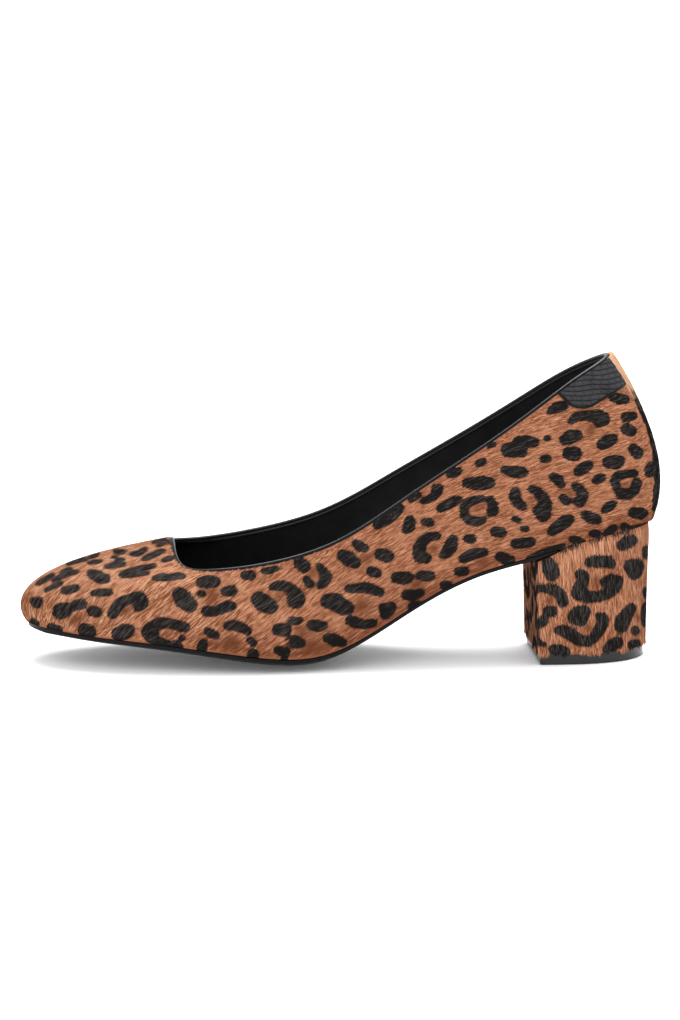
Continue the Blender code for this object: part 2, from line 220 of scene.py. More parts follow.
# The photograph's frame and camera
PHOTO_WIDTH, PHOTO_HEIGHT = 680, 1020
PIXELS_PER_MM = 2.65
CAMERA_DISTANCE = 1.6
CAMERA_YAW = math.radians(-4)
CAMERA_RISE = math.radians(9)
CAMERA_TARGET = np.array([0.0, 0.0, 56.1 * MM])
FOCAL_PIXELS = PIXELS_PER_MM / MM * CAMERA_DISTANCE

# Marks of the hide on the side that shows. Each mark is a run of discs, and a disc is across, down
# and radius in pixels of the photograph. Marks are read one by one.
UPPER_MARKS = (
    # The first run is a black mark above the heel's front with painted shade in it; the second is a painted
    # shadow line along the join of upper and heel
    ((528, 559, 2.2), (540, 553, 2.6), (552, 549, 2.6), (564, 545, 1.5)),
    ((631, 527.5, 1.2), (641, 525, 1.1), (651, 522.5, 1.0)),
    ((34, 601.5, 3.5), (40, 601, 3)), ((37, 604, 4),), ((33, 622, 3), (36, 624, 3)),
    ((38, 584, 1.5), (45, 580, 2), (53, 575, 1.5)),
    ((54, 580.5, 1.5), (62, 576.5, 2), (70, 573.5, 2), (77, 572, 1.5)),
    ((46, 590.5, 1.2), (53, 587, 1.8), (61, 583.5, 1.8)), ((62, 572, 1), (70, 569, 1.2)),
    ((68, 564, 1.3), (75, 561.5, 1.8), (86, 559.5, 1.2)), ((91, 557, 1.5), (97, 554.5, 2)),
    ((89, 563.5, 1), (95, 562, 1.5), (101, 561.5, 1.2)),
    ((115, 551.5, 1.5), (120, 552.4, 2), (124.5, 552, 1.3)),
    ((132, 554.2, 1.7), (137, 554.5, 2), (141, 552.3, 2.2), (145.5, 549.3, 1.8)),
    ((143, 559.8, 1.3), (148, 557.5, 2.2), (155, 554.5, 2.4), (160, 552, 2), (164, 551, 1.2)),
    ((163, 561, 1.3), (167, 559.5, 2), (172, 558.3, 1.4)), ((112, 557.4, 0.9), (116, 557.5, 1)),
    ((116, 560.5, 0.8), (120, 560.2, 1.1), (124, 559.8, 0.8)),
    ((157, 546.5, 0.9), (160, 545.3, 1.2), (164, 543.6, 1)),
    ((153, 543, 0.8), (158, 541.5, 1), (166, 539.3, 0.8)), ((170, 541.5, 0.8), (172, 543.5, 0.8)),
    ((91, 574, 3.5), (96, 576, 5), (100, 578, 5.5), (106, 579, 4)),
    ((64, 591, 3), (70, 590, 3.5), (77, 588, 2.8)),
    ((93, 593.5, 2.2), (100, 593, 3.4), (110, 592.5, 3)),
    ((106, 567, 1.3), (113, 565.5, 2.2), (124, 564.5, 1.6)),
    ((122, 575, 2.5), (129, 573.5, 4), (138, 569.5, 2.5), (147, 567.5, 2), (154, 566, 1.8)),
    ((131, 575, 2.5), (140, 574.5, 1.5), (148, 573.3, 1.3)),
    ((60, 611.5, 7), (65, 610, 7)), ((76, 605, 4.5), (82, 604, 4.5)), ((92, 611, 4.5), (97, 612, 5)),
    ((85, 630, 6.5), (90, 632, 6)), ((51, 627, 3.5), (58, 630, 4)),
    ((113, 614, 4.5), (115.5, 609, 5), (119.5, 604, 5), (125, 600.5, 4.5), (132, 598.5, 3.5)),
    ((135.5, 596.5, 4.5), (141, 598, 5.5), (143, 603, 5), (139, 605, 6)),
    ((118, 634, 6), (124, 632, 7.5), (129, 630, 5.5)),
    ((154, 579, 1.8), (161, 577.5, 3), (170, 578, 2.5), (178, 576, 2.8), (183, 576.5, 2.2)),
    ((180, 595, 7.2), (184, 600, 8.3), (190, 605, 6.8)),
    ((201, 582.5, 4.5), (208, 582, 6), (215, 582, 4.8)),
    ((225, 591.5, 4), (232, 591, 5)), ((199.5, 593.5, 2.2), (203, 594, 2.6)),
    ((207, 611, 5), (213, 612, 4), (220, 609.5, 4.5), (228, 606, 5), (232, 606, 4)),
    ((150, 632, 8), (152, 636, 7)),
    ((151, 628, 6), (160, 622.5, 5), (170, 623.5, 4.5), (178, 625.5, 5), (185, 627, 4.5)),
    ((156, 640, 5), (165, 644, 3.5), (176, 645, 3.5), (181, 647, 2)), ((182, 638, 3),),
    ((207.5, 631, 3.5), (212, 633.5, 4), (216, 636, 3)), ((203.5, 643, 4), (202, 647.5, 5)),
    ((227, 626, 3.6), (233, 625, 4.6), (241, 627.5, 4.6), (248, 631, 3.6)),
    ((249.5, 640, 2.8), (253.5, 642.5, 3.4)), ((253, 654.5, 5.6),), ((245, 575.5, 4), (251, 575.5, 4.5)),
    ((264, 571, 2.5), (270, 570.5, 3), (277, 568.5, 2)),
    ((259, 599.5, 7.4), (264, 603.5, 8.5), (270.5, 606, 7.2)),
    ((272, 587, 2.8), (279, 585.5, 4.5), (286, 587, 5), (293, 592, 6.5), (297, 598, 8),
     (295.5, 600, 8.4)),
    ((307, 580, 4), (310, 584, 4)),
    ((319, 566.5, 3), (323, 571, 4.5), (326, 577, 5.5), (323, 583, 4.5), (320, 585.5, 3)),
    ((300, 563, 6), (304, 566, 6.3)), ((343, 555.5, 5.5), (348.5, 559, 7), (355.5, 563, 5)),
    ((356, 543.5, 3.6), (360.5, 546.5, 4.8), (364.5, 548, 3.6)),
    ((328, 601, 7), (335, 602, 8.5), (343, 607, 7.5), (348, 608, 6)),
    ((291, 620, 3), (297, 621, 3.5), (301, 620, 2)), ((278, 629.5, 5.5), (285, 630, 6)),
    ((289, 640, 4.5), (296, 642, 6), (301, 643, 4)), ((278, 650, 4), (285, 652.5, 5)), ((284, 660, 3),),
    ((311, 625, 4.5), (318, 626, 5.5), (324, 625.5, 3.5)),
    ((327, 638, 4.2), (335, 640, 6), (343, 642.5, 4)),
    ((348, 588.5, 3.5), (356, 588.5, 4), (365, 587.5, 4.8), (373, 589.5, 5), (380, 592, 4)),
    ((350, 620.5, 4.5), (356, 622.5, 5), (364, 624.5, 4), (373, 623, 3.8)),
    ((383, 608, 4.5), (388, 610, 6), (391, 607, 5)), ((385, 614, 5),),
    ((406, 594.5, 4.5), (413, 595, 5), (421, 592.5, 3.5)), ((412, 607, 4.5), (418, 604, 3)),
    ((396, 577.5, 5), (403, 578, 6), (408, 577.5, 5)),
    ((420.5, 575.5, 4.2), (427, 576, 5), (431, 576, 4)),
    ((444, 585, 4), (449, 585, 3.5)), ((380, 554, 5.2), (387, 556, 5.8), (391, 556, 3)),
    ((371, 571, 4.5), (377, 573, 4.5)),
    ((437, 536, 3.5), (428, 536.5, 4), (422, 542, 5), (419, 549, 6), (420, 556, 6.5), (426, 558, 5)),
    ((453, 539.5, 4.5), (451, 546, 6.5), (446, 553, 5), (442, 555.5, 2.5)),
    ((410, 521, 5), (409, 526, 6), (406, 530, 3.5)), ((425, 522, 3.5), (430, 522.5, 4)),
    ((377, 525, 4), (386, 520.5, 4.5), (394, 514, 5), (400, 508, 4)),
    ((433.5, 486.5, 1.8), (439.5, 488, 3.6), (437.5, 491.5, 4.6), (434, 496, 3.8),
     (428.5, 499.5, 3.2), (423, 501, 3)),
    ((410, 500, 2.2), (415, 498, 2.4), (419.5, 494.5, 2.2)),
    ((440, 508.5, 3.6), (447, 504.8, 4.4), (455, 500.8, 4.4), (459.5, 499.5, 3)),
    ((483, 498.6, 2.8), (475, 500, 3.6), (468, 502.5, 3.9), (464, 508, 3.8), (464.5, 515, 4),
     (470, 520.6, 4.2), (478, 521.6, 4), (483.5, 519.8, 3)),
    ((490, 500, 4), (492.5, 505, 5), (492.5, 511, 5.2)),
    ((467, 483, 4.5), (475, 483.5, 6), (484, 483, 6.5), (490, 483, 5)),
    ((450, 474, 3.5), (455, 472.5, 4.5), (459, 471, 3)), ((478, 463.5, 3), (483, 462, 3.5)),
    ((489, 446, 1.8), (494, 444.5, 2.2)),
    ((503, 469.5, 3), (511, 471.5, 5), (518, 472.5, 5.5), (524, 472, 4)),
    ((508, 450, 6.5), (515, 450, 7), (520, 444, 7.5), (527, 441.5, 5.5), (535, 442.5, 4)),
    ((522, 452, 5),),
    ((546, 438.5, 2.3), (548.5, 438, 2.3)), ((543, 459, 3.2), (548, 458.5, 3.4)),
    ((515, 492.5, 5), (514.5, 497, 5.5), (518, 502.5, 5), (523, 506, 4)),
    ((531, 489, 3.2), (537, 491.5, 4.5), (543, 498, 5.5), (546, 506, 6), (543, 514, 7.5),
     (538, 510, 4.5)),
    ((513.5, 518, 2), (518.5, 521, 2.6)), ((523, 528.5, 2.4), (526.5, 529, 2.6)),
    ((495, 531.5, 4.5), (502, 532.5, 4.5)), ((515, 543.5, 4.3), (523, 543, 4.8), (531, 542, 4.3)),
    ((467, 538.5, 3.5), (472, 539, 4)),
    ((463, 558.5, 4), (470, 555, 5), (478, 553, 4.5), (485, 552, 3.2)),
    ((458, 571.5, 4), (465, 571, 4.2)), ((500, 556.5, 4.5), (506, 559, 5.5), (511, 560, 4)),
    ((550, 411, 3), (556, 408, 5), (563, 406, 4.5)),
    ((571, 421, 3), (577, 416.5, 4), (588, 415.5, 4.5), (598, 417, 7), (603, 419, 6.5)), ((599, 422, 5),),
    ((564, 440, 4.5), (570, 437, 6.5), (577, 435.5, 5)), ((568, 453.5, 5.5), (575, 454, 6.5)),
    ((602, 444.5, 5), (608, 441, 6), (613, 439, 4.5)), ((613, 397.5, 4), (619, 399, 5), (625, 399.5, 4)),
    ((625, 417, 4), (633, 416, 3.6)), ((626, 429, 5), (631, 431, 5)), ((633, 449, 4.8), (637, 453, 5.5)),
    ((608, 462.5, 5.5), (616, 462, 6.5), (620, 461, 4.5)),
    ((578, 471.5, 4.5), (584, 468, 5.5), (589, 465, 4)),
    ((596, 480, 3.8), (601, 478, 4)),
    ((634, 473.5, 3.6), (626, 474, 3.2), (618.5, 475.5, 4.2), (614.5, 480, 4.2), (617, 488, 3.6),
     (621, 493.5, 5.2), (628, 494.5, 4.6), (634, 490.5, 4.4), (636.5, 483.5, 4.8)),
    ((651, 465, 3), (648, 469, 3.5), (649, 473, 4)), ((553, 477, 3.8), (558, 480, 5), (561, 484, 4)),
    ((563, 498, 3.8), (567, 501, 4)),
    ((575, 486, 3.5), (580, 489, 4.5), (583, 495, 5), (580, 502, 5), (576, 501, 3)),
    ((604, 510, 3), (608.5, 507, 4.4), (612.5, 504.5, 3.6)),
    ((585, 514.5, 4), (590.5, 517.5, 5.3), (597, 519.8, 4.2)),
    ((552, 531, 4.5), (558, 526.5, 5.5), (565, 521.5, 6), (570, 519, 4)),
    ((633, 512.5, 4.8), (640, 513.5, 5.5), (644, 513, 3.5)), ((592.5, 533.5, 3.5), (597, 533.5, 3.5)),
    ((604.5, 534.5, 2.2), (609, 531.5, 3.8), (613.5, 528, 3.6)), ((624, 526.5, 3.8), (627.5, 528.5, 3.4)),
    ((572, 539, 3), (578, 540.5, 3.5), (583, 542, 2)),
)
HEEL_MARKS = (
    ((621, 545, 5), (627, 542, 6), (631, 540, 5)),
    ((589, 561.5, 4.5), (598, 561.5, 5.5), (607, 561.5, 5.8), (611, 564, 4)),
    ((630, 566, 6.5), (636, 566.5, 7), (634, 572, 7)), ((645, 549, 3), (645, 555, 3)),
    ((645, 590, 2.5), (646, 596, 2.5)),
    ((547, 561, 4.5), (550, 568, 7.5), (552, 573, 7)),
    ((579.5, 574, 4.6), (584, 576.5, 4.6), (583, 582, 5), (579, 588, 5.5), (578, 593, 6.5),
     (587, 596.5, 5.5), (598, 596.5, 5), (608, 593.5, 5), (615, 587, 5.5), (617, 580.5, 5.5),
     (611, 579.5, 5), (604, 581.5, 4)),
    ((529, 593, 3), (533, 590, 3.4), (540, 588, 3.5), (548, 589, 4.2), (556, 590.5, 5), (561, 595, 5),
     (563, 602, 5)),
    ((548, 611, 5), (552, 611.5, 5)), ((536, 625, 3.5), (543, 621, 4.8)),
    ((572.5, 617, 5), (577, 612, 5.2), (585.5, 611.5, 4.8), (581, 620.5, 5.5), (575, 618.5, 5.5)),
    ((559, 630, 4.5), (565, 631.5, 5.8), (573, 635.5, 5.5)),
    ((573, 636.5, 5.5), (580, 640.5, 5.3), (588, 641.5, 4.6), (594, 638, 4.2), (598.5, 631, 5.2),
     (602.5, 624, 5.3), (603, 618, 4.8), (598, 616, 3)),
    ((631, 608, 4.5), (627, 614, 5.5), (622, 621, 7), (621, 626, 6.5)), ((635, 630.5, 4),),
    ((645, 607, 3.5), (644, 616, 3), (645, 624, 3)), ((610, 645, 4.5), (617, 642.5, 5.5), (607, 649, 4)),
    ((631, 644.5, 3.5), (636, 643.5, 3.5)), ((553, 649, 4), (560, 650, 4.8), (566, 651, 3.5)),
    ((534, 638, 3.4), (538, 642, 3), (545, 645, 1.8)),
    ((529, 556, 4), (530, 566, 4.5), (533, 572, 3)), ((526, 612, 4), (529, 618, 3.5)),
)
SEAM_MARKS = (
    ((565, 547, 5), (572, 546, 6), (579, 545, 5)), ((592, 542, 5), (598, 540, 6), (604, 539, 5)),
    ((618, 535, 6), (625, 533, 6), (631, 532, 5)), ((640, 529, 3), (646, 528, 3)),
)

# Brown centres of the rosettes, as discs in the same pixels
CENTRES = (
    (125, 611, 12), (168, 634, 9), (212, 598, 15), (230, 643, 18), (278, 597, 10), (303, 634, 15),
    (310, 646, 16), (362, 606, 18), (416, 585, 17), (366, 558, 11), (434, 549, 9), (477, 509, 7),
    (532, 502, 9), (484, 562, 12), (570, 494, 8), (625, 484, 7), (590, 432, 10), (75, 620, 13),
    (312, 572, 8), (592, 428, 9),
)
HEEL_CENTRES = ((596, 582, 11), (588, 628, 11), (551, 600, 9), (638, 618, 8))

# How steeply the hair lies in side view: rows of x in millimetres and degrees above level. Between the
# two places along x it turns from straight back to along the wall.
HAIR_LIE = ((-117, 57), (-72, 45), (23, 30), (79, 15), (113, 10))
HAIR_TURN = (40, 80)

# How far shades of hair differ, more on the forepart where bright streaks partly stand for painted
# highlights: rows of x in millimetres and share
HAIR_SPREAD = ((-110, 1.2), (-60, 1.05), (-20, 0.75), (20, 0.6), (110, 0.6))

# How much paler the hair is on top of the forepart, as a painted sheen, and darker beside the sole, as
# painted
# shade: shares, then the rise of the surface and the places along x in millimetres between which they set
# in
TOP_PAINTED_SHEEN = 0.22
TOP_SHEEN_RISE = (0.3, 0.7)
TOP_SHEEN_PLACE = (-20, -50)
SOLE_PAINTED_SHADE = 0.3
SOLE_PAINTED_SHADE_REACH = 8 * MM
SOLE_PAINTED_SHADE_PLACE = (-80, -40)

# How far the black of the back strip runs out on to the upper: rows of height share and millimetres
STRIP_SHADE = ((0.04, -2.0), (0.1, 6.5), (0.34, 6.0), (0.5, 2.2), (0.72, 0.3), (0.8, -2.0))
STRIP_SHADE_WAVES = ((0.6, 95), (0.5, 41))

# Hair at an edge: where it starts above the sole as a share of the wall's height, how far its roots keep
# off, what room the rim and the tabs give it, the share of a tab's length at which its room ends, and
# how hair is cut shorter within a reach
HAIR_START = 0.012
ROOT_ROOM = 0.5 * MM
RIM_ROOM = 0.3 * MM
TAB_ROOM = 0.6 * MM
TAB_ROOM_END = 1.2
TRIM_REACH = 5 * MM
SHORTEST_TRIM = 0.22


class LoopSpline:
    """Smooth closed curve through rows of numbers, with u running from 0 to 1 around it."""

    def __init__(self, rows, spacing):
        self.values = np.vstack([rows, rows[:1]])
        self.steps = spacing / spacing.sum()
        self.knots = np.concatenate([[0.0], np.cumsum(self.steps)])
        count = len(rows)
        before, after = np.roll(self.steps, 1), self.steps
        rises = np.diff(self.values, axis=0) / after[:, None]
        matrix = np.diag(2 * (before + after))
        for i in range(count):
            matrix[i, i - 1] += before[i]
            matrix[i, (i + 1) % count] += after[i]
        bends = np.linalg.solve(matrix, 6 * (rises - np.roll(rises, 1, axis=0)))
        self.bends = np.vstack([bends, bends[:1]])

    def at(self, u):
        u = np.mod(np.asarray(u, float), 1.0)
        i = np.clip(np.searchsorted(self.knots, u, side="right") - 1, 0, len(self.steps) - 1)
        step = self.steps[i][..., None]
        b = (u - self.knots[i])[..., None] / step
        a = 1.0 - b
        line = a * self.values[i] + b * self.values[i + 1]
        return line + ((a**3 - a) * self.bends[i] + (b**3 - b) * self.bends[i + 1]) * step**2 / 6

    def slope(self, u, reach=SLOPE_STEP):
        return (self.at(np.asarray(u) + reach) - self.at(np.asarray(u) - reach)) / (2 * reach)


def unit(vectors):
    return vectors / np.maximum(np.linalg.norm(vectors, axis=-1, keepdims=True), LEAST_LENGTH)


def ramp(values, start, stop):
    """Share of the way from start to stop, from 0 before it to 1 after it."""
    return np.clip((values - start) / (stop - start), 0, 1)


def read_table(rows, place):
    """Value at a place, from rows of place and value."""
    return np.interp(place, *np.array(rows).T)


def column(count, low=0.0, high=1.0):
    """Even steps, one for each row of a grid."""
    return np.linspace(low, high, count)[:, None]


def even_grid(rows, columns, closed=False):
    """Even shares down the rows of a grid, which may close a loop, and across its columns."""
    return column(rows + closed)[:rows], column(columns).T


def flat_on(direction, normals):
    """A direction laid flat on a surface."""
    return unit(direction - normals * np.sum(direction * normals, axis=-1, keepdims=True))


def station_loop():
    """Foot point, topline point and handles once around, from the toe by the outer side."""

    def station(values, side):
        row = dict(zip(SECTION_COLUMNS, values))
        return [row["foot_x"], row["foot_" + side], row["foot_" + side + "_z"],
                row["top_x"], row["top_" + side], row["top_" + side + "_z"],
                row["lean"], row["rise"], row["reach"], row["drop"]]

    rows = [station(values, "outer") for values in SECTIONS]
    rows += [station(values, "inner") for values in SECTIONS[-2:0:-1]]
    rows = np.array(rows) * MM
    ahead = np.roll(rows, -1, axis=0)
    spacing = sum(np.linalg.norm(ahead[:, k:k + 3] - rows[:, k:k + 3], axis=1) for k in (0, 3))
    return LoopSpline(rows, spacing)


LOOP = station_loop()
BACK_U = float(LOOP.knots[len(SECTIONS) - 1])
UP = np.array([0.0, 0.0, 1.0])
EDGE_OUTER = LOOP.at(np.linspace(0, BACK_U, EDGE_SAMPLES))[:, 0:3]
EDGE_INNER = LOOP.at(np.linspace(1, BACK_U, EDGE_SAMPLES))[:, 0:3]


def outward(slope):
    """Level direction away from the foot, to the right of a loop's run."""
    return unit(np.stack([slope[..., 1], -slope[..., 0], np.zeros_like(slope[..., 0])], axis=-1))


def wall_controls(u):
    row, slope = LOOP.at(u), LOOP.slope(u)
    foot, top = row[..., 0:3], row[..., 3:6]
    lean, rise, reach, drop = (row[..., k:k + 1] for k in range(6, 10))
    low = foot + outward(slope[..., 0:2]) * lean + UP * rise
    high = top + outward(slope[..., 3:5]) * reach - UP * drop
    lower = unit(top - high) * (2 * BINDING_RADIUS + GAP)
    return foot, low, high - lower, top - lower


def wall_point(u, t):
    """Outer face of the upper: u goes around the foot, t from the sole (0) to the topline (1)."""
    u, t = np.broadcast_arrays(u, t)
    foot, low, high, top = wall_controls(u)
    t = t[..., None]
    s = 1.0 - t
    return s**3 * foot + 3 * s * s * t * low + 3 * s * t * t * high + t**3 * top


def wall_normal(u, t, reach=SLOPE_STEP):
    u, t = np.broadcast_arrays(u, np.minimum(t, 1.0))
    around = wall_point(u + reach, t) - wall_point(u - reach, t)
    rising = wall_point(u, np.minimum(t + reach, 1.0)) - wall_point(u, np.maximum(t - reach, 0.0))
    return unit(np.cross(around, rising))


def foot_edge(u, offset=0.0):
    """Point on the edge of the sole, moved outward by offset."""
    return LOOP.at(u)[..., 0:3] + outward(LOOP.slope(u)[..., 0:2]) * np.asarray(offset)[..., None]


def side_u(x, outer_side):
    """Where the edge of the sole passes x, on the outer or the inner side."""
    low, high = (0.0, BACK_U) if outer_side else (1.0, BACK_U)
    for _ in range(HALVINGS):
        middle = (low + high) / 2
        low, high = (middle, high) if LOOP.at(middle)[0] < x else (low, middle)
    return (low + high) / 2


def u_from_back(distance, t, steps=60):
    """The u at a distance from the back centre along the wall at height t, negative on the outer side."""
    distance, t = np.broadcast_arrays(distance, t)
    u = np.full(distance.shape, BACK_U)
    for _ in range(steps):
        span = wall_point(u + SLOPE_STEP, t) - wall_point(u - SLOPE_STEP, t)
        run = np.linalg.norm(span, axis=-1) / (2 * SLOPE_STEP)
        u = u + distance / steps / run
    return u


def seat_height(x, y, crown_share):
    """Height of the foot's bed: level with the edges, and lower between them by its crown."""
    y_outer, z_outer = (np.interp(x, EDGE_OUTER[:, 0], EDGE_OUTER[:, k]) for k in (1, 2))
    y_inner, z_inner = (np.interp(x, EDGE_INNER[:, 0], EDGE_INNER[:, k]) for k in (1, 2))
    share = np.clip((y - y_outer) / np.maximum(y_inner - y_outer, MM), 0, 1)
    crown = read_table(np.array(CROWNS) * MM, x) * (1 - np.abs(2 * share - 1) ** CROWN_POWER)
    return z_outer + share * (z_inner - z_outer) - crown_share * crown


def tongue_thickness(x):
    """Thickness of the sole's edge: full as far as the heel breast, then skived."""
    return SOLE_EDGE + ramp(x, BREAST_TOP, SOLE_TONGUE_END) * (SOLE_TONGUE_EDGE - SOLE_EDGE)


def coons(outer, inner, front, back):
    """Sheet of points between two long edges and two ends, all given as rows of points."""
    s = np.linspace(0, 1, len(outer))[:, None, None]
    r = np.linspace(0, 1, len(front))[None, :, None]
    sides = (1 - r) * outer[:, None] + r * inner[:, None]
    ends = (1 - s) * front[None] + s * back[None]
    corners = (1 - s) * ((1 - r) * front[0] + r * front[-1]) + s * ((1 - r) * back[0] + r * back[-1])
    return sides + ends - corners


def part_shift():
    """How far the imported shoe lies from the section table's own place."""
    low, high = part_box("upper")
    points = wall_point(*even_grid(*SHIFT_GRID)).reshape(-1, 3)
    middle = (points.min(axis=0) + points.max(axis=0)) / 2
    return np.array([(low.x + high.x) / 2 - middle[0], (low.y + high.y) / 2 - middle[1], 0.0])


SHIFT = part_shift()


def camera_axes():
    """Eye, and the directions ahead, right and up of the photograph's camera."""
    level = np.array([math.sin(CAMERA_YAW), -math.cos(CAMERA_YAW), 0.0])
    away = level * math.cos(CAMERA_RISE) + UP * math.sin(CAMERA_RISE)
    ahead = -away
    right = unit(np.cross(ahead, UP))
    return CAMERA_TARGET + away * CAMERA_DISTANCE, ahead, right, np.cross(right, ahead)


EYE, AHEAD, RIGHT, ABOVE = camera_axes()


def photo_pixels(points):
    """Where points of the shoe show in the photograph, across and down."""
    offset = points - EYE
    scale = FOCAL_PIXELS / (offset @ AHEAD)
    across = PHOTO_WIDTH / 2 + offset @ RIGHT * scale
    down = PHOTO_HEIGHT / 2 - offset @ ABOVE * scale
    return np.stack([across, down], axis=-1)


def facing(points, normals):
    """How squarely a surface faces the photograph's camera, from 1 to -1."""
    return np.sum(unit(EYE - points) * normals, axis=-1)


def mark_depths(points, runs, fade):
    """How deep each point lies inside the marks, down to -fade outside them."""
    depths = np.full(len(points), -fade)
    for run in runs:
        discs = np.array(run, float)
        ends = discs[1:] if len(discs) > 1 else discs
        for start, end in zip(discs, ends):
            line = end[:-1] - start[:-1]
            reach = np.abs(line) / 2 + max(start[-1], end[-1]) + fade
            near = np.flatnonzero(np.all(np.abs(points - start[:-1] - line / 2) <= reach, axis=1))
            offset = points[near] - start[:-1]
            share = np.clip(offset @ line / max(line @ line, LEAST_LENGTH), 0, 1)
            radius = start[-1] + share * (end[-1] - start[-1])
            depth = radius - np.linalg.norm(offset - share[:, None] * line, axis=1)
            depths[near] = np.maximum(depths[near], depth)
    return depths


def soft_discs(points, discs):
    """Share of brown at each point, full in the middle of a disc and none at its rim."""
    brown = np.zeros(len(points))
    for disc in discs:
        share = np.clip(1 - np.linalg.norm(points - np.array(disc[:-1]), axis=1) / disc[-1], 0, 1)
        brown = np.maximum(brown, share * share * (3 - 2 * share))
    return brown


# Reading the marks: fade in millimetres, how squarely the edge of the view faces the camera, and how fast
# marks shrink past it
MARK_FADE = 6.0
EDGE_FACING = 0.06
EDGE_SHRINK = 60.0

# Laying them again: how far a rosette reaches past its centre and its smallest disc in pixels, tries for
# a place, space between marks in millimetres and turn in radians
RING_REACH = 7
SMALLEST_STAMP = 1.6
STAMP_TRIES = 30
STAMP_SPACING = (0.9, 2.4)
STAMP_TURN = 0.35


class Markings:
    """Marks of one hide: charted where the photograph shows it, scattered by a fixed seed elsewhere."""

    def __init__(self, runs, centres, seed):
        self.runs, self.centres = runs, centres
        self.rng = np.random.default_rng(seed)
        self.hidden_runs, self.hidden_centres = [], []

    def stamps(self):
        """Charted marks as groups about their middles, in millimetres across and up, the largest first."""

        def reaches(run, across, down, reach):
            return min(math.hypot(x - across, y - down) for x, y, _ in run) < reach

        def about(middle, discs):
            return (np.array(discs, float) - (*middle, 0)) * (1, -1, 1) / PIXELS_PER_MM

        left, groups = list(self.runs), []
        for across, down, radius in self.centres:
            near = [run for run in left if reaches(run, across, down, radius + RING_REACH)]
            left = [run for run in left if run not in near]
            groups.append((near, (across, down, radius)))
        groups += [([run], None) for run in left]
        stamps = []
        for runs, brown in groups:
            if not runs or min(disc[2] for run in runs for disc in run) <= SMALLEST_STAMP:
                continue
            discs = np.concatenate([np.array(run, float) for run in runs])
            middle = discs[:, :2].mean(axis=0)
            size = np.max(np.linalg.norm(discs[:, :2] - middle, axis=1) + discs[:, 2])
            stamps.append((size, [about(middle, run) for run in runs], brown and about(middle, brown)))
        return [stamp[1:] for stamp in sorted(stamps, key=lambda stamp: -stamp[0])]

    def layer(self, point, normal):
        """Function that lays discs on the hide about a point, turned and flipped by chance."""
        along = unit(np.cross(UP, normal) + STAMP_NUDGE)
        along = along * (1 if along[0] > 0 else -1)
        turn, flip = self.rng.normal(0, STAMP_TURN), self.rng.choice((-1, 1))
        across = np.cross(normal, along) * flip
        along, across = (math.cos(turn) * along + math.sin(turn) * across,
                         math.cos(turn) * across - math.sin(turn) * along)

        def laid(discs):
            place = point / MM + discs[:, :1] * along + discs[:, 1:2] * across
            return np.hstack([place, discs[:, 2:]])

        return laid

    def scatter(self, points, normals, rounds, most_facing):
        """Lays charted marks again, turned and mixed, on the sides that show least."""
        points, normals = points.reshape(-1, 3), normals.reshape(-1, 3)
        free = np.flatnonzero(facing(points, normals) < most_facing)
        taken = np.empty((0, 4))
        for runs, centre in [stamp for stamp in self.stamps() for _ in range(rounds)]:
            for i in self.rng.choice(free, STAMP_TRIES):
                laid = self.layer(points[i], normals[i])
                placed = [laid(run) for run in runs]
                discs = np.concatenate(placed)
                apart = np.linalg.norm(taken[:, None, :3] - discs[None, :, :3], axis=-1)
                if np.all(apart > taken[:, None, 3] + discs[None, :, 3] + self.rng.uniform(*STAMP_SPACING)):
                    taken = np.vstack([taken, discs])
                    self.hidden_runs += [run.tolist() for run in placed]
                    if centre is not None:
                        self.hidden_centres.append(laid(centre[None])[0].tolist())
                    break

    def read(self, points, normals):
        """Depth inside the marks in millimetres, and share of brown, at each point."""
        points, normals = points.reshape(-1, 3), normals.reshape(-1, 3)
        pixels, turned = photo_pixels(points), facing(points, normals)
        shown = mark_depths(pixels, self.runs, MARK_FADE * PIXELS_PER_MM) / PIXELS_PER_MM
        hidden = mark_depths(points / MM, self.hidden_runs, MARK_FADE)
        shown -= EDGE_SHRINK * np.clip(EDGE_FACING - turned, 0, 1)
        hidden -= EDGE_SHRINK * np.clip(turned, 0, 1)
        brown = np.where(
            turned > 0, soft_discs(pixels, self.centres), soft_discs(points / MM, self.hidden_centres))
        return np.maximum(np.maximum(shown, hidden), -MARK_FADE), brown


def hair_flow(points, normals):
    """Direction in which the hair lies: up and back over the toe, then along the sides to the heel."""
    x = points[..., 0] / MM
    lie = np.radians(read_table(HAIR_LIE, x))
    straight = np.stack([np.cos(lie), np.zeros_like(lie), np.sin(lie)], axis=-1)
    level = unit(np.cross(UP, normals))
    level = level * np.sign(level[..., :1] + LEVEL_NUDGE)
    around = level * np.cos(lie)[..., None] + UP * np.sin(lie)[..., None]
    share = ramp(x, *HAIR_TURN)[..., None]
    return flat_on(straight * (1 - share) + around * share, normals)


def grid_faces(rows, columns, wrap_rows=False, wrap_columns=False):
    index = np.arange(rows * columns).reshape(rows, columns)
    if wrap_rows:
        index = np.vstack([index, index[:1]])
    if wrap_columns:
        index = np.hstack([index, index[:, :1]])
    corners = index[:-1, :-1], index[1:, :-1], index[1:, 1:], index[:-1, 1:]
    return np.stack(corners, axis=-1).reshape(-1, 4)


def new_mesh(name, points, faces, sharp=None):
    mesh = bpy.data.meshes.new(name)
    mesh.from_pydata((points.reshape(-1, 3) + SHIFT).tolist(), [], [list(face) for face in faces])
    mesh.shade_smooth()
    if sharp:
        mesh.set_sharp_from_angle(angle=sharp)
    return mesh


def sheet_mesh(name, points, wrap_rows=False, wrap_columns=False):
    return new_mesh(name, points, grid_faces(*points.shape[:2], wrap_rows, wrap_columns).tolist())


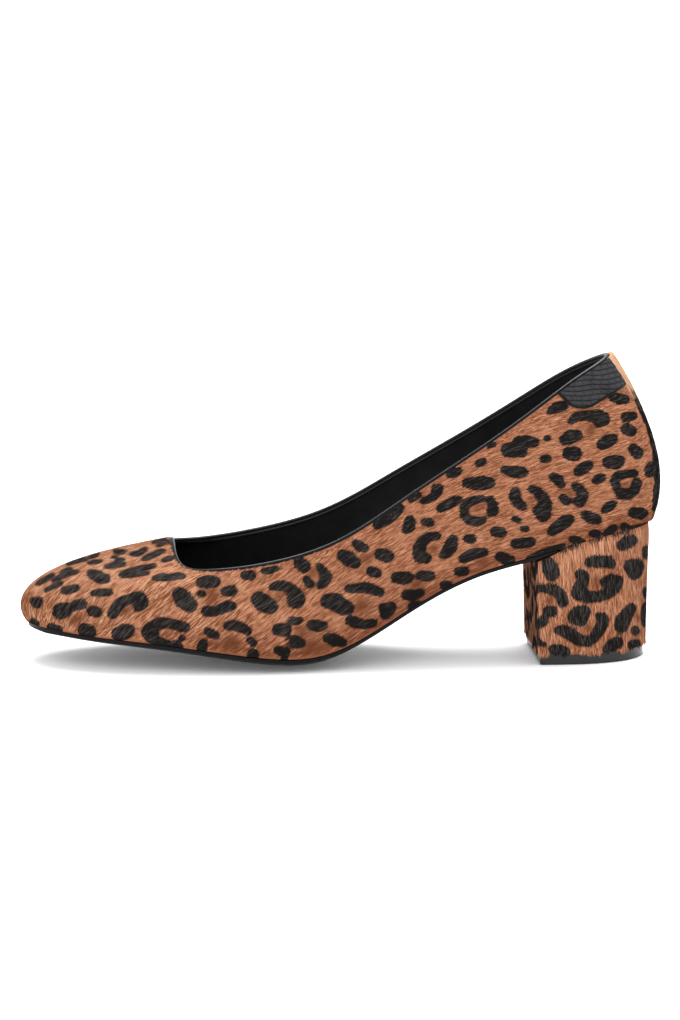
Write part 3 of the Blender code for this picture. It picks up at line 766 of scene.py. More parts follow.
def slab_mesh(name, top, bottom, wrap_rows=False, sharp=0.9):
    """Closed solid between two sheets with the same spread, whose top looks outward."""
    rows, columns = top.shape[:2]
    count = rows * columns
    faces = grid_faces(rows, columns, wrap_rows)
    index = np.arange(count).reshape(rows, columns)
    loops = [index[:, 0], index[::-1, -1]]
    if wrap_rows:
        loops = [np.append(loop, loop[0]) for loop in loops]
    else:
        loops += [index[-1, :], index[0, ::-1]]
    sides = [
        np.stack([loop[:-1], loop[:-1] + count, loop[1:] + count, loop[1:]], axis=-1) for loop in loops
    ]
    points = np.concatenate([top.reshape(-1, 3), bottom.reshape(-1, 3)])
    return new_mesh(name, points, np.concatenate([faces, faces[:, ::-1] + count, *sides]).tolist(), sharp)


def set_attribute(mesh, name, values):
    vector = values.ndim > 1
    layer = mesh.attributes.new(name, "FLOAT_VECTOR" if vector else "FLOAT", "POINT")
    layer.data.foreach_set("vector" if vector else "value", values.astype(np.float32).ravel())


def add_piece(name, mesh, slot, *nodes, material=None):
    """Puts a finished mesh in the scene on the shoe's body, in place of the named solids."""
    piece = bpy.data.objects.new(name, mesh)
    if material:
        mesh.materials.clear()
        mesh.materials.append(material)
    bpy.context.scene.collection.objects.link(piece)
    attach(piece, "root")
    if nodes:
        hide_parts(*nodes)
    return piece


class Wire:
    """A node's output that can stand in sums with numbers and other outputs."""

    def __init__(self, graph, socket):
        self.graph, self.socket = graph, socket

    def other(self, name):
        """Another output of the same node."""
        return Wire(self.graph, next(s for s in self.socket.node.outputs if s.name == name and s.enabled))

    def math(self, operation, *values):
        sockets = [v.socket.type for v in values if isinstance(v, Wire)]
        kind = "ShaderNodeVectorMath" if "VECTOR" in sockets else "ShaderNodeMath"
        return self.graph.node(kind, {"operation": operation}, dict(enumerate(values)))

    def __add__(self, value):
        return self.math("ADD", self, value)

    def __sub__(self, value):
        return self.math("SUBTRACT", self, value)

    def __rsub__(self, value):
        return self.math("SUBTRACT", value, self)

    def __mul__(self, value):
        return self.math("MULTIPLY", self, value)

    def __truediv__(self, value):
        return self.math("DIVIDE", self, value)

    __radd__, __rmul__ = __add__, __mul__


class Graph:
    """Adds nodes to one tree."""

    def __init__(self, tree):
        self.tree = tree

    def node(self, kind, settings=None, values=None):
        """A node with its settings, then its sockets by name or number. Gives its first live output."""
        node = self.tree.nodes.new(kind)
        for name, value in (settings or {}).items():
            if name == "stops":
                for stop, (place, colour) in zip(node.color_ramp.elements, value):
                    stop.position, stop.color = place, (*colour, 1)
            else:
                setattr(node, name, value)
        for key, value in (values or {}).items():
            socket = node.inputs[key] if isinstance(key, int) else next(
                s for s in node.inputs if s.name == key and s.enabled)
            if isinstance(value, Wire):
                self.tree.links.new(value.socket, socket)
            elif hasattr(socket.default_value, "__len__") and not hasattr(value, "__len__"):
                socket.default_value = (value,) * len(socket.default_value)
            elif hasattr(value, "__len__") and not isinstance(value, str):
                socket.default_value = tuple(value) + (1,) * (len(socket.default_value) - len(value))
            else:
                socket.default_value = value
        return Wire(self, next((s for s in node.outputs if s.enabled), None))


class Finish(Graph):
    """A material that is built from expressions."""

    def __init__(self, name, **constants):
        self.material = bpy.data.materials.new(name)
        self.material.use_nodes = True
        super().__init__(self.material.node_tree)
        self.shader = self.tree.nodes["Principled BSDF"]
        for socket, value in constants.items():
            self.set(socket.replace("_", " "), value)

    def set(self, socket, value):
        target = next(s for s in self.shader.inputs if s.name.lower() == socket.lower())
        if isinstance(value, Wire):
            self.tree.links.new(value.socket, target)
        else:
            target.default_value = (*value, 1) if hasattr(value, "__len__") and len(value) == 3 else value

    def attribute(self, name):
        return self.node("ShaderNodeAttribute", {"attribute_name": name}).other("Fac")

    def place(self, scale=1.0):
        """Object coordinates, stretched by scale."""
        here = self.node("ShaderNodeTexCoord").other("Object")
        return self.node("ShaderNodeMapping", None, {"Vector": here, "Scale": scale})

    def noise(self, scale, detail=2.0, stretch=1.0):
        return self.node("ShaderNodeTexNoise", None,
                         {"Vector": self.place(stretch), "Scale": scale, "Detail": detail})

    def mix(self, share, one, two):
        return self.node("ShaderNodeMix", {"data_type": "RGBA"}, {"Factor": share, "A": one, "B": two})

    def smooth(self, value, low, high, to_low=0.0, to_high=1.0):
        return self.node("ShaderNodeMapRange", {"interpolation_type": "SMOOTHSTEP"}, {
            "Value": value, "From Min": low, "From Max": high, "To Min": to_low, "To Max": to_high})

    def bump(self, height, distance, strength=1.0):
        self.set("Normal", self.node("ShaderNodeBump", None, {
            "Height": height, "Distance": distance, "Strength": strength}))


def colour_property(name, description, default):
    return FloatVectorProperty(
        name=name, description=description, default=default, subtype="COLOR", size=3, min=0, max=1)


def length_property(name, description, default, most):
    """A length, with its default and its most in millimetres."""
    return FloatProperty(
        name=name, description=description, default=default * MM, min=0, max=most * MM, unit="LENGTH",
        precision=5)


def number_property(name, description, default, subtype="NONE", **limits):
    return FloatProperty(
        name=name, description=description, default=default, min=0, subtype=subtype, **limits)


class HideSettings(bpy.types.PropertyGroup):
    """Hair and colours of the spotted hide."""

    hair_length: length_property("Hair length", "Length of a full hair", 3.8, 12)
    hair_width: length_property("Hair width", "Width of a lock of hair", 0.19, 1)
    hair_lift: length_property("Hair lift", "Height of a hair's tip over the hide", 0.34, 2)
    hair_fray: length_property("Fray", "How far a mark's edge strays along the hair", 0.5, 4)
    hair_density: number_property("Hair density", "Locks of hair on a square millimetre", 3.4, max=6)
    hair_stray: number_property("Stray", "How far locks stray from the flow", 0.16, max=1)
    seed: IntProperty(name="Seed", description="Seed of the hair", default=7, min=0)
    # Cream is both pale hair and painted highlight where painted light raises the hair's shade
    cream: colour_property("Cream", "Bleached hair", (0.56, 0.34, 0.21))
    tan_light: colour_property("Light tan", "Palest tan hair", (0.475, 0.213, 0.119))
    tan_deep: colour_property("Deep tan", "Darkest tan hair", (0.125, 0.0375, 0.0158))
    brown: colour_property("Brown", "Middle of a rosette", (0.10, 0.031, 0.0125))
    black: colour_property("Black", "Marks", (0.0105, 0.0092, 0.0086))
    # Light black is both grey strands in the marks and painted sheen on lit marks
    black_grey_and_sheen: colour_property("Light black", "Palest hair of the marks", (0.055, 0.047, 0.043))


class TrimSettings(bpy.types.PropertyGroup):
    """Binding, tabs and lining."""

    leather: colour_property("Black leather", "Binding", (0.0062, 0.0062, 0.007))
    embossed: colour_property("Embossed leather", "Heel tabs", (0.019, 0.019, 0.0205))
    lining: colour_property("Lining", "Lining and sock", (0.0032, 0.0032, 0.0037))
    scale_length: length_property("Scale length", "Length of an embossed scale", 2.9, 6)
    scale_height: length_property("Scale height", "Relief of an embossed scale", 0.24, 1)


class SoleSettings(bpy.types.PropertyGroup):
    """Sole and lift."""

    sole: colour_property("Sole", "Sole and its edge", (0.0035, 0.0032, 0.0032))
    lift: colour_property("Lift", "Top piece under the heel", (0.011, 0.0105, 0.0105))


class StageSettings(bpy.types.PropertyGroup):
    """Floor and studio light."""

    floor: colour_property("Floor", "Pale floor", (0.93, 0.93, 0.935))
    glow: number_property("Floor glow", "Light that comes up through the floor", 0.07)
    sky: number_property("Surround", "Strength of the white surround", 1.25)
    key: number_property("Key light", "Strength of the broad overhead light", 3.6)
    key_spread: number_property(
        "Key spread", "Width of the overhead light", math.radians(50), "ANGLE", max=math.pi)
    front: number_property("Front light", "Power of the front softbox", 9, "POWER")


# Shades of hair, from 0 to 1 and over, between which one colour gives way to the next, and the depth in
# millimetres at which a mark sets in
TAN_SHADES = (0.08, 0.98)
CREAM_AND_LIGHT_SHADES = (0.8, 1.4)
GREY_BLACK_AND_SHEEN_SHADES = (0.6, 1.0)
MARK_EDGE = (-0.5, -0.2)

# Shares: how strong the brown centres are, how far shade lightens them, how patchy the coat is, and how
# ragged shade makes the marks on hair and skin
BROWN_STRENGTH = 0.8
BROWN_SHADE = 0.4
PATCH_STRENGTH = 0.3
HAIR_RAGGED = 0.3
SKIN_RAGGED = 0.6

# Roughness of hair and what a mark adds to it, and how far painted rim light pales the skin under the hair
HAIR_ROUGHNESS = 0.46
MARK_ROUGHNESS = 0.04
SKIN_RIM_LIGHT = 0.6

# Shares: the darkest and palest tints of leather and sole, the clouds between which leather pales, how
# dark the painted shadow in its grooves is, and how far roughness varies
LEATHER_TINTS = (0.12, 1.9)
LEATHER_CLOUDS = (-0.4, 1.0)
GROOVE_SHADE = 1.2
LEATHER_ROUGH_RANGE = 0.16
SOLE_TINTS = (0.7, 1.4)
SOLE_ROUGH_RANGE = 0.2


def hide_colour(finish, hide, shade, ragged, bleach):
    """Tan hair with cream on its palest strands and where light is painted on, brown rosette centres, and
    black marks that turn grey with their strands and with painted sheen.
    """
    tan = finish.mix(bleach, finish.mix(shade, hide.tan_deep, hide.tan_light), hide.cream)
    brown = finish.mix(shade * BROWN_SHADE, hide.brown, hide.tan_deep)
    tan = finish.mix(finish.attribute("centre") * BROWN_STRENGTH, tan, brown)
    inside = finish.smooth(finish.attribute("spot") + ragged, *MARK_EDGE)
    black = finish.mix(finish.smooth(shade, *GREY_BLACK_AND_SHEEN_SHADES), hide.black, hide.black_grey_and_sheen)
    finish.set("Base Color", finish.mix(inside, tan, black))
    return inside


def hair_finish(hide):
    """Short hair: each lock has its own shade, and the marks are a little duller."""
    finish = Finish("spotted_hair", specular_ior_level=0.0)
    own = finish.attribute("shade")
    shade = own + (finish.noise(scale=55) - 0.5) * PATCH_STRENGTH
    inside = hide_colour(
        finish, hide, finish.smooth(shade, *TAN_SHADES), (own - 0.5) * HAIR_RAGGED,
        finish.smooth(shade, *CREAM_AND_LIGHT_SHADES))
    finish.set("Roughness", HAIR_ROUGHNESS + inside * MARK_ROUGHNESS)
    return finish.material


def skin_finish(hide):
    """The hide under the hair."""
    finish = Finish("spotted_skin", specular_ior_level=0.0, roughness=0.7)
    streaks = finish.noise(scale=900, detail=3, stretch=(1.0, 1.0, 0.35))
    # painted rim light, set only on the back strip, pales the skin there
    bleached = finish.attribute("bleached")
    shade = streaks * 0.5 + bleached * 0.5
    hide_colour(finish, hide, shade, (streaks - 0.5) * SKIN_RAGGED, bleached * SKIN_RIM_LIGHT)
    finish.bump(streaks, distance=0.15 * MM)
    return finish.material


def tinted(colour, *shares):
    """A colour made darker or paler, once for each share."""
    return [tuple(channel * share for channel in colour) for share in shares]


def leather_finish(
        name, colour, roughness, grain=1500, depth=0.05 * MM, shine=0.28, polish=None, groove=None):
    """Black leather with a fine grain, with polish and painted groove shadow where the named attributes
    say.
    """
    finish = Finish(name, specular_ior_level=shine, coat_roughness=0.32)
    if polish:
        finish.set("Coat Weight", finish.attribute(polish))
    pores = finish.node("ShaderNodeTexVoronoi", {"feature": "F1"}, {
        "Vector": finish.place(), "Scale": grain, "Randomness": 0.9})
    cloud = finish.noise(scale=180, detail=3)
    shade = cloud - finish.attribute(groove) * GROOVE_SHADE if groove else cloud
    pale = finish.smooth(shade, *LEATHER_CLOUDS)
    finish.set("Base Color", finish.mix(pale, *tinted(colour, *LEATHER_TINTS)))
    finish.set("Roughness", roughness - LEATHER_ROUGH_RANGE / 2 + cloud * LEATHER_ROUGH_RANGE)
    finish.bump(pores, depth, strength=0.7)
    return finish.material


def sole_finish(name, colour, roughness, shine):
    """Moulded rubber with a fine matt speckle and faint scuffs."""
    finish = Finish(name, specular_ior_level=shine)
    speckle = finish.noise(scale=2600)
    scuffs = finish.noise(scale=90, detail=4, stretch=(1.0, 3.0, 1.0))
    finish.set("Base Color", finish.mix(scuffs, *tinted(colour, *SOLE_TINTS)))
    finish.set("Roughness", roughness - SOLE_ROUGH_RANGE / 2 + scuffs * SOLE_ROUGH_RANGE)
    finish.bump(speckle, distance=0.03 * MM)
    return finish.material


# Streaks: bands of like shade that run with the hair, partly as painted highlights, and how far each lock's
# own shade strays from them
STREAK_SCALE = 3400
STREAK_STEPS = 6
STREAK_GAIN = 6.4
OWN_SHADE = 0.22

# A lock of hair: ranges of its height in the coat, its length and its width, the terms of the curve of
# its width from root to tip, and the share of its lift that it has at the root
LOCK_LAYERS = (0.35, 1.0)
LOCK_LENGTHS = (0.6, 1.2)
LOCK_WIDTHS = (0.7, 1.35)
LOCK_TAPER = (0.7, 1.78, -2.36)
ROOT_LIFT = 0.15

# How far a lock may run from its root on the sheet that holds its colours for baking
BAKE_REACH = (0.03, 0.2, 0.0)
VECTOR = "FLOAT_VECTOR"


class HairTree(Graph):
    """Locks of hair on a skin: strips that lie along its flow and take its marks where they lie."""

    def __init__(self):
        super().__init__(bpy.data.node_groups.new("hide_hair", "GeometryNodeTree"))
        sizes = ("Density", "Length", "Width", "Lift", "Stray", "Fray", "Streak")
        kinds = {"Skin": "Geometry", **dict.fromkeys(sizes, "Float"), "Seed": "Int", "Finish": "Material"}
        for name, kind in kinds.items():
            self.tree.interface.new_socket(name=name, in_out="INPUT", socket_type="NodeSocket" + kind)
        self.tree.interface.new_socket(name="Hair", in_out="OUTPUT", socket_type="NodeSocketGeometry")
        self.given = self.node("NodeGroupInput").other
        self.position = self.node("GeometryNodeInputPosition")
        self.flow, self.along = self.named("flow", VECTOR), self.named("along")
        hairs = self.marked(self.lifted(self.planted()))
        hairs = self.node("GeometryNodeSetMaterial", None, {
            "Geometry": hairs, "Material": self.given("Finish")})
        self.node("NodeGroupOutput", None, {"Hair": hairs})

    def named(self, name, kind="FLOAT"):
        return self.node("GeometryNodeInputNamedAttribute", {"data_type": kind}, {"Name": name})

    def chance(self, number, low, high, kind="FLOAT"):
        """A lock's random value. The number tells its draws apart."""
        return self.node("FunctionNodeRandomValue", {"data_type": kind}, {
            "Min": low, "Max": high, "Seed": self.given("Seed") + number})

    def store(self, geometry, name, value, kind="FLOAT", domain="POINT"):
        return self.node("GeometryNodeStoreNamedAttribute", {"data_type": kind, "domain": domain}, {
            "Geometry": geometry, "Name": name, "Value": value})

    def on_skin(self, name, kind="FLOAT", place=None):
        """An attribute of the skin at its point nearest to a place."""
        where = {"Sample Position": place} if place else {}
        return self.node("GeometryNodeSampleNearestSurface", {"data_type": kind}, {
            "Mesh": self.given("Skin"), "Value": self.named(name, kind), **where})

    def roots(self):
        """Points on the skin, each with its lock's shade, fray and layer."""
        roots = self.node("GeometryNodeDistributePointsOnFaces", {"distribute_method": "RANDOM"}, {
            "Mesh": self.given("Skin"), "Density": self.given("Density") * self.named("growth"),
            "Seed": self.given("Seed")})
        streak = 0
        for k in range(STREAK_STEPS):
            way = self.flow * self.given("Streak") * ((k + 0.5) / STREAK_STEPS - 0.5)
            streak = streak + self.node("ShaderNodeTexNoise", None, {
                "Vector": self.position + way, "Scale": STREAK_SCALE, "Detail": 0.0})
        own = self.chance(1, -OWN_SHADE, OWN_SHADE)
        shade = (streak / STREAK_STEPS - 0.5) * STREAK_GAIN + own
        roots = self.store(roots, "shade", shade * self.named("spread") + self.named("pale") + 0.5)
        roots = self.store(roots, "fray", self.chance(6, -1.0, 1.0) * self.given("Fray"))
        return self.store(roots, "layer", self.chance(2, *LOCK_LAYERS))

    def lock(self):
        """Flat strip along X that swells and then tapers to its tip."""
        strip = self.node("GeometryNodeMeshGrid", None, {
            "Size X": 1.0, "Size Y": 1.0, "Vertices X": 4, "Vertices Y": 2})
        here = self.node("ShaderNodeSeparateXYZ", None, {"Vector": self.position})
        strip = self.store(strip, "along", here.other("X") + 0.5)
        at_root, slope, curve = LOCK_TAPER
        width = self.along * (self.along * curve + slope) + at_root
        place = self.node("ShaderNodeCombineXYZ", None, {"X": self.along, "Y": here.other("Y") * width})
        return self.node("GeometryNodeSetPosition", None, {"Geometry": strip, "Position": place})

    def planted(self):
        """A lock at each root, turned along the flow and sized by chance."""
        stray = self.chance(3, (-1, -1, -1), (1, 1, 1), VECTOR) * self.given("Stray")
        turn = self.node("FunctionNodeAxesToRotation", {"primary_axis": "Z", "secondary_axis": "X"}, {
            "Primary Axis": self.named("skin_normal", VECTOR), "Secondary Axis": self.flow + stray})
        size = self.node("ShaderNodeCombineXYZ", None, {
            "X": self.given("Length") * self.named("trim") * self.chance(4, *LOCK_LENGTHS),
            "Y": self.given("Width") * self.chance(5, *LOCK_WIDTHS), "Z": 1.0})
        hairs = self.node("GeometryNodeInstanceOnPoints", None, {
            "Points": self.roots(), "Instance": self.lock(), "Rotation": turn, "Scale": size})
        return self.node("GeometryNodeRealizeInstances", None, {"Geometry": hairs})

    def lifted(self, hairs):
        """Locks bent to the skin, with tips that stand off it."""
        nearest = self.node("GeometryNodeProximity", {"target_element": "FACES"}, {0: self.given("Skin")})
        normal = self.on_skin("skin_normal", VECTOR)
        off = self.node("ShaderNodeVectorMath", {"operation": "DOT_PRODUCT"}, {
            0: self.position - nearest.other("Position"), 1: normal}).other("Value")
        lift = self.given("Lift") * self.named("loft") * self.named("layer")
        rise = lift * (self.along * (1 - ROOT_LIFT) + ROOT_LIFT)
        return self.node("GeometryNodeSetPosition", None, {
            "Geometry": hairs, "Position": self.position + normal * (rise - off)})

    def marked(self, hairs):
        """Locks that take the skin's marks, and their place on its sheet for baking."""
        frayed = self.position + self.flow * self.named("fray")
        hairs = self.store(hairs, "spot", self.on_skin("spot", place=frayed))
        hairs = self.store(hairs, "centre", self.on_skin("centre"))
        root = self.named("place", VECTOR)
        step = self.on_skin("place", VECTOR) - root
        step = step.math("MAXIMUM", step, [-reach for reach in BAKE_REACH])
        step = step.math("MINIMUM", step, BAKE_REACH)
        return self.store(hairs, "OFBake", root + step, "FLOAT2", "CORNER")


def grown(skin_mesh, tree, inputs):
    """Plain mesh of what a node tree makes on a mesh, with inputs by their names."""
    carrier = bpy.data.objects.new(skin_mesh.name, skin_mesh)
    bpy.context.scene.collection.objects.link(carrier)
    modifier = carrier.modifiers.new("Nodes", "NODES")
    modifier.node_group = tree
    for item in tree.interface.items_tree:
        if item.in_out == "INPUT" and item.name in inputs:
            modifier[item.identifier] = inputs[item.name]
    graph = bpy.context.evaluated_depsgraph_get()
    mesh = bpy.data.meshes.new_from_object(carrier.evaluated_get(graph), depsgraph=graph)
    carrier.modifiers.remove(modifier)
    bpy.data.objects.remove(carrier)
    return mesh


# What hair reads from its skin, with the usual values, what its locks add, and what its finish still reads
SKIN_VECTORS = ("skin_normal", "flow", "place")
SKIN_VALUES = {
    "spot": -MARK_FADE, "centre": 0.0, "growth": 1.0, "trim": 1.0, "spread": 1.0, "pale": 0.0, "loft": 1.0,
}
LOCK_VALUES = ("along", "layer", "fray")
SEEN_VALUES = ("spot", "centre")


def grow_hair(name, skin, coat, seed, length=1.0, density=1.0, width=1.0, fray=1.0, streak=4.5):
    """Hair piece on a skin, a dict of grids and numbers. A coat is the hair's tree, settings and finish."""
    tree, hide, material = coat
    shape = skin["points"].shape[:2]
    mesh = sheet_mesh(name + "_skin", skin["points"])
    for key in SKIN_VECTORS:
        set_attribute(mesh, key, skin[key].reshape(-1, 3))
    for key, usual in SKIN_VALUES.items():
        values = np.asarray(skin.get(key, usual))
        values = values.reshape(shape) if values.size == np.prod(shape) else np.broadcast_to(values, shape)
        set_attribute(mesh, key, values.reshape(-1))
    hair = grown(mesh, tree, {
        "Density": hide.hair_density * density / MM**2, "Length": hide.hair_length * length,
        "Width": hide.hair_width * width, "Lift": hide.hair_lift, "Stray": hide.hair_stray,
        "Fray": hide.hair_fray * fray, "Streak": streak * MM, "Seed": seed, "Finish": material})
    bpy.data.meshes.remove(mesh)
    for key in (*SKIN_VECTORS, *SKIN_VALUES, *LOCK_VALUES):
        if key in hair.attributes and key not in SEEN_VALUES:
            hair.attributes.remove(hair.attributes[key])
    hair.shade_smooth()
    return add_piece(name, hair, "spotted_hide")


def sheet_place(around, up):
    """Where a skin's points lie on its own flat sheet."""
    return np.stack(np.broadcast_arrays(around, up, 0 * up), axis=-1)


def run_length(points, axis):
    """Distance along a grid's rows or columns from their start."""
    steps = np.linalg.norm(np.diff(points, axis=axis), axis=-1)
    start = np.zeros_like(np.take(steps, [0], axis=axis))
    return np.concatenate([start, np.cumsum(steps, axis=axis)], axis=axis)


LENGTH_STEPS = 13
BACK_WALL_LENGTH = float(run_length(wall_point(BACK_U, np.linspace(0, 1, LENGTH_STEPS)), 0)[-1])


def hide_tuck(u):
    """How far the hide goes up to the binding: less at the throat."""
    from_toe = np.abs(np.mod(u + 0.5, 1) - 0.5)
    return BINDING_TUCK - THROAT_DROP * ramp(from_toe, THROAT_SHARE, 0)


def wall_grid(u, t, tuck=None):
    """Points, normals and heights of the wall, whose top goes a little way up to the binding."""
    length = run_length(wall_point(u, column(LENGTH_STEPS).T), 1)[:, -1:]
    t = t * (1 + (hide_tuck(u) if tuck is None else tuck) / length)
    return wall_point(u, t), wall_normal(u, t), t


def tab_depth(share):
    """Depth of a heel tab below the topline, from its rounded front (0) to the back strip (1)."""
    rounding = 1 - np.minimum(share / TAB_ROUND, 1)
    depth = TAB_TIP + (TAB_DEPTH - TAB_TIP) * np.sqrt(1 - rounding**2)
    return depth - (TAB_DEPTH - TAB_REAR) * np.maximum(share - TAB_ROUND, 0) / (1 - TAB_ROUND)


def from_back(points, u):
    """Distance of a wall grid's points from the back centre along its rows, if it reaches there."""
    if not u[0, 0] <= BACK_U <= u[-1, 0]:
        return np.full(points.shape[:2], np.inf)
    run = run_length(points, 0)
    at_back = [np.interp(BACK_U, u[:, 0], distances) for distances in run.T]
    return np.abs(run - at_back)


def upper_marks(points, normals, u, t):
    """Depth inside the upper's marks and the black beside the back strip, and share of brown."""
    spot, centre = UPPER_HIDE.read(points, normals)
    waves = sum(height * np.sin(t * turn) for height, turn in STRIP_SHADE_WAVES)
    shaded = read_table(STRIP_SHADE, t) + waves
    beside_strip = shaded + (STRIP_HALF_WIDTH - from_back(points, u)) / MM
    return np.maximum(spot, np.clip(beside_strip, -MARK_FADE, MARK_FADE).ravel()), centre


def room_at_back(points, u, t):
    """How far the wall's points lie from the heel tabs and the back strip, below 0 under them."""
    back = from_back(points, u) - STRIP_HALF_WIDTH
    share = 1 - (back - GAP) / TAB_LENGTH
    depth = np.where((share > 0) & (share < TAB_ROOM_END), tab_depth(np.clip(share, 0, 1)), 0)
    drop = (1 - t) * BACK_WALL_LENGTH
    before_tab = np.where(drop < TAB_DEPTH, back - TAB_LENGTH, TAB_LENGTH)
    return np.minimum(np.maximum(drop - depth, np.where(share < 0, before_tab, 0)), back)


def upper_skin(start, stop, rows):
    """Grids of one stretch of the upper."""
    u = column(rows + 1, start, stop)
    points, normals, t = wall_grid(u, column(HAIR_LEVELS, HAIR_START).T)
    spot, centre = upper_marks(points, normals, u, t)
    from_sole = run_length(points, 1)
    below_rim = from_sole[:, -1:] - from_sole
    room = np.minimum(below_rim + RIM_ROOM, room_at_back(points, u, t) + TAB_ROOM)
    x = points[..., 0] / MM
    # Painted sheen pales the top of the forepart, and painted shade darkens the hair beside the sole
    sheen_on_top = ramp(normals[..., 2], *TOP_SHEEN_RISE) * ramp(x, *TOP_SHEEN_PLACE)
    shade_by_sole = ramp(from_sole, SOLE_PAINTED_SHADE_REACH, 0) * ramp(x, *SOLE_PAINTED_SHADE_PLACE)
    return {
        "points": points, "skin_normal": normals, "flow": hair_flow(points, normals), "spot": spot,
        "centre": centre, "growth": (room > ROOT_ROOM).astype(float),
        "trim": SHORTEST_TRIM + (1 - SHORTEST_TRIM) * ramp(room, 0, TRIM_REACH),
        "spread": read_table(HAIR_SPREAD, x), "pale": TOP_PAINTED_SHEEN * sheen_on_top - SOLE_PAINTED_SHADE * shade_by_sole,
        "place": sheet_place(ramp(u, start, stop), t),
    }


def heel_loop(radius=1.4 * MM):
    """Plan of the heel's top: sides and back, then the straight breast, with eased corners."""
    start, stop = (side_u(BREAST_TOP + radius, outer_side) for outer_side in (True, False))
    sides = foot_edge(np.linspace(start, stop, HEEL_SIDE_POINTS), -HEEL_INSET)
    corners = foot_edge(np.array([side_u(BREAST_TOP, False), side_u(BREAST_TOP, True)]), -HEEL_INSET)
    across = unit(corners[1] - corners[0])
    s = column(HEEL_CORNER_POINTS)[1:]

    def eased(start, corner, stop):
        return (1 - s) ** 2 * start + 2 * s * (1 - s) * corner + s**2 * stop

    inner_stop, outer_start = corners[0] + across * radius, corners[1] - across * radius
    breast = inner_stop + column(BREAST_POINTS)[1:-1] * (outer_start - inner_stop)
    return np.concatenate([
        sides, eased(sides[-1], corners[0], inner_stop), breast,
        outer_start[None], eased(outer_start, corners[1], sides[0])[:-1]])


# How far forward the heel's cover faces where its side turns into the breast
BREAST_FACING = (0.45, 0.75)


def heel_foot(loop, inset, height):
    """Ring of the heel's plan at the floor: the top's plan drawn in, at a height."""
    top_front, top_back = BREAST_TOP, foot_edge(BACK_U, -HEEL_INSET)[0]
    front, back = BREAST_BOTTOM + inset, HEEL_BACK_BOTTOM - inset
    narrow = (HEEL_HALF_WIDTH_BOTTOM - inset) / abs(foot_edge(side_u(BREAST_TOP, True), -HEEL_INSET)[1])
    across = front + (loop[:, 0] - top_front) * (back - front) / (top_back - top_front)
    return np.stack([across, loop[:, 1] * narrow, np.full(len(loop), height)], axis=-1)


def heel_wall(loop, levels):
    """Rings of the heel's side from the lift to the seat."""
    foot = heel_foot(loop, 0.0, LIFT_THICKNESS + GAP)
    top = np.stack([loop[:, 0], loop[:, 1], heel_top(loop)], axis=-1)
    share = np.linspace(0, 1, levels)[None, :, None]
    return foot[:, None] * (1 - share) + top[:, None] * share


def heel_top(loop):
    x, y = loop[:, 0], loop[:, 1]
    behind_sole = ramp(x, SOLE_TONGUE_END, SOLE_TONGUE_END + SEAT_RAMP)
    under_sole = (tongue_thickness(x) + GAP) * (1 - behind_sole)
    return seat_height(x, y, TOP_CROWN_SHARE) - GAP - under_sole


def on_breast(normals):
    """Share of the heel's breast at each point: 1 on its flat face, 0 on the sides."""
    return ramp(-normals[..., 0], *BREAST_FACING)


def heel_marks(wall, normals):
    """Marks of the heel's hide, which go around the corner on to the breast as if it lay flat."""
    spot, centre = HEEL_HIDE.read(wall, normals)
    corner = wall.copy()
    corner[..., 1] = wall[..., 1].min(axis=0)
    inward = (wall - corner)[..., 1:2] / MM * PIXELS_PER_MM
    laid_flat = (photo_pixels(corner) - inward * (1, 0)).reshape(-1, 2)
    around = mark_depths(laid_flat, HEEL_MARKS, MARK_FADE * PIXELS_PER_MM) / PIXELS_PER_MM
    around = np.maximum(around, mark_depths(wall.reshape(-1, 3) / MM, HEEL_HIDE.hidden_runs, MARK_FADE))
    breast = on_breast(normals).ravel()
    return spot + breast * (around - spot), centre * (1 - breast)


def ring_solid(name, wall, sharp=0.9):
    """Closed solid of rings, with flat ends."""
    rows, columns = wall.shape[:2]
    index = np.arange(rows * columns).reshape(rows, columns)
    faces = grid_faces(rows, columns, True).tolist()
    faces += [index[::-1, 0].tolist(), index[:, -1].tolist()]
    return new_mesh(name, wall, faces, sharp)


def ring_normals(wall):
    around = np.roll(wall, -1, axis=0) - np.roll(wall, 1, axis=0)
    rising = np.gradient(wall, axis=1)
    return unit(np.cross(around, rising))


def ease(piece):
    """Rounds a cut or moulded edge a little."""
    bevel = piece.modifiers.new("Eased edge", "BEVEL")
    bevel.width, bevel.segments = EASED_EDGE, 2
    bevel.limit_method, bevel.angle_limit = "ANGLE", EASED_ANGLE


class PUMP_OT_upper(bpy.types.Operator):
    """Make the hide wall with its marks and the lining inside it."""

    bl_idname = "pump.make_upper"
    bl_label = "Upper and lining"

    def execute(self, context):
        hide, trim = context.scene.pump_hide, context.scene.pump_trim
        u, t = even_grid(*UPPER_GRID, closed=True)
        points, normals, t = wall_grid(u, t)
        mesh = slab_mesh("hide_upper", points, points - normals * WALL / 2, True)
        spot, centre = upper_marks(points, normals, u, t)
        for name, values in (("spot", spot), ("centre", centre)):
            set_attribute(mesh, name, np.concatenate([values, values]))
        add_piece("hide_upper", mesh, "spotted_hide", "upper", material=skin_finish(hide))
        points, normals, _ = wall_grid(*even_grid(*LINING_GRID, closed=True), LINING_TUCK)
        face, back = points - normals * (WALL / 2 + LINING_GAP), points - normals * WALL
        lining = slab_mesh("upper_lining", face, back, True)
        finish = leather_finish("black_lining", trim.lining, roughness=0.55, grain=1100)
        add_piece("upper_lining", lining, "black_lining", material=finish)
        return {"FINISHED"}


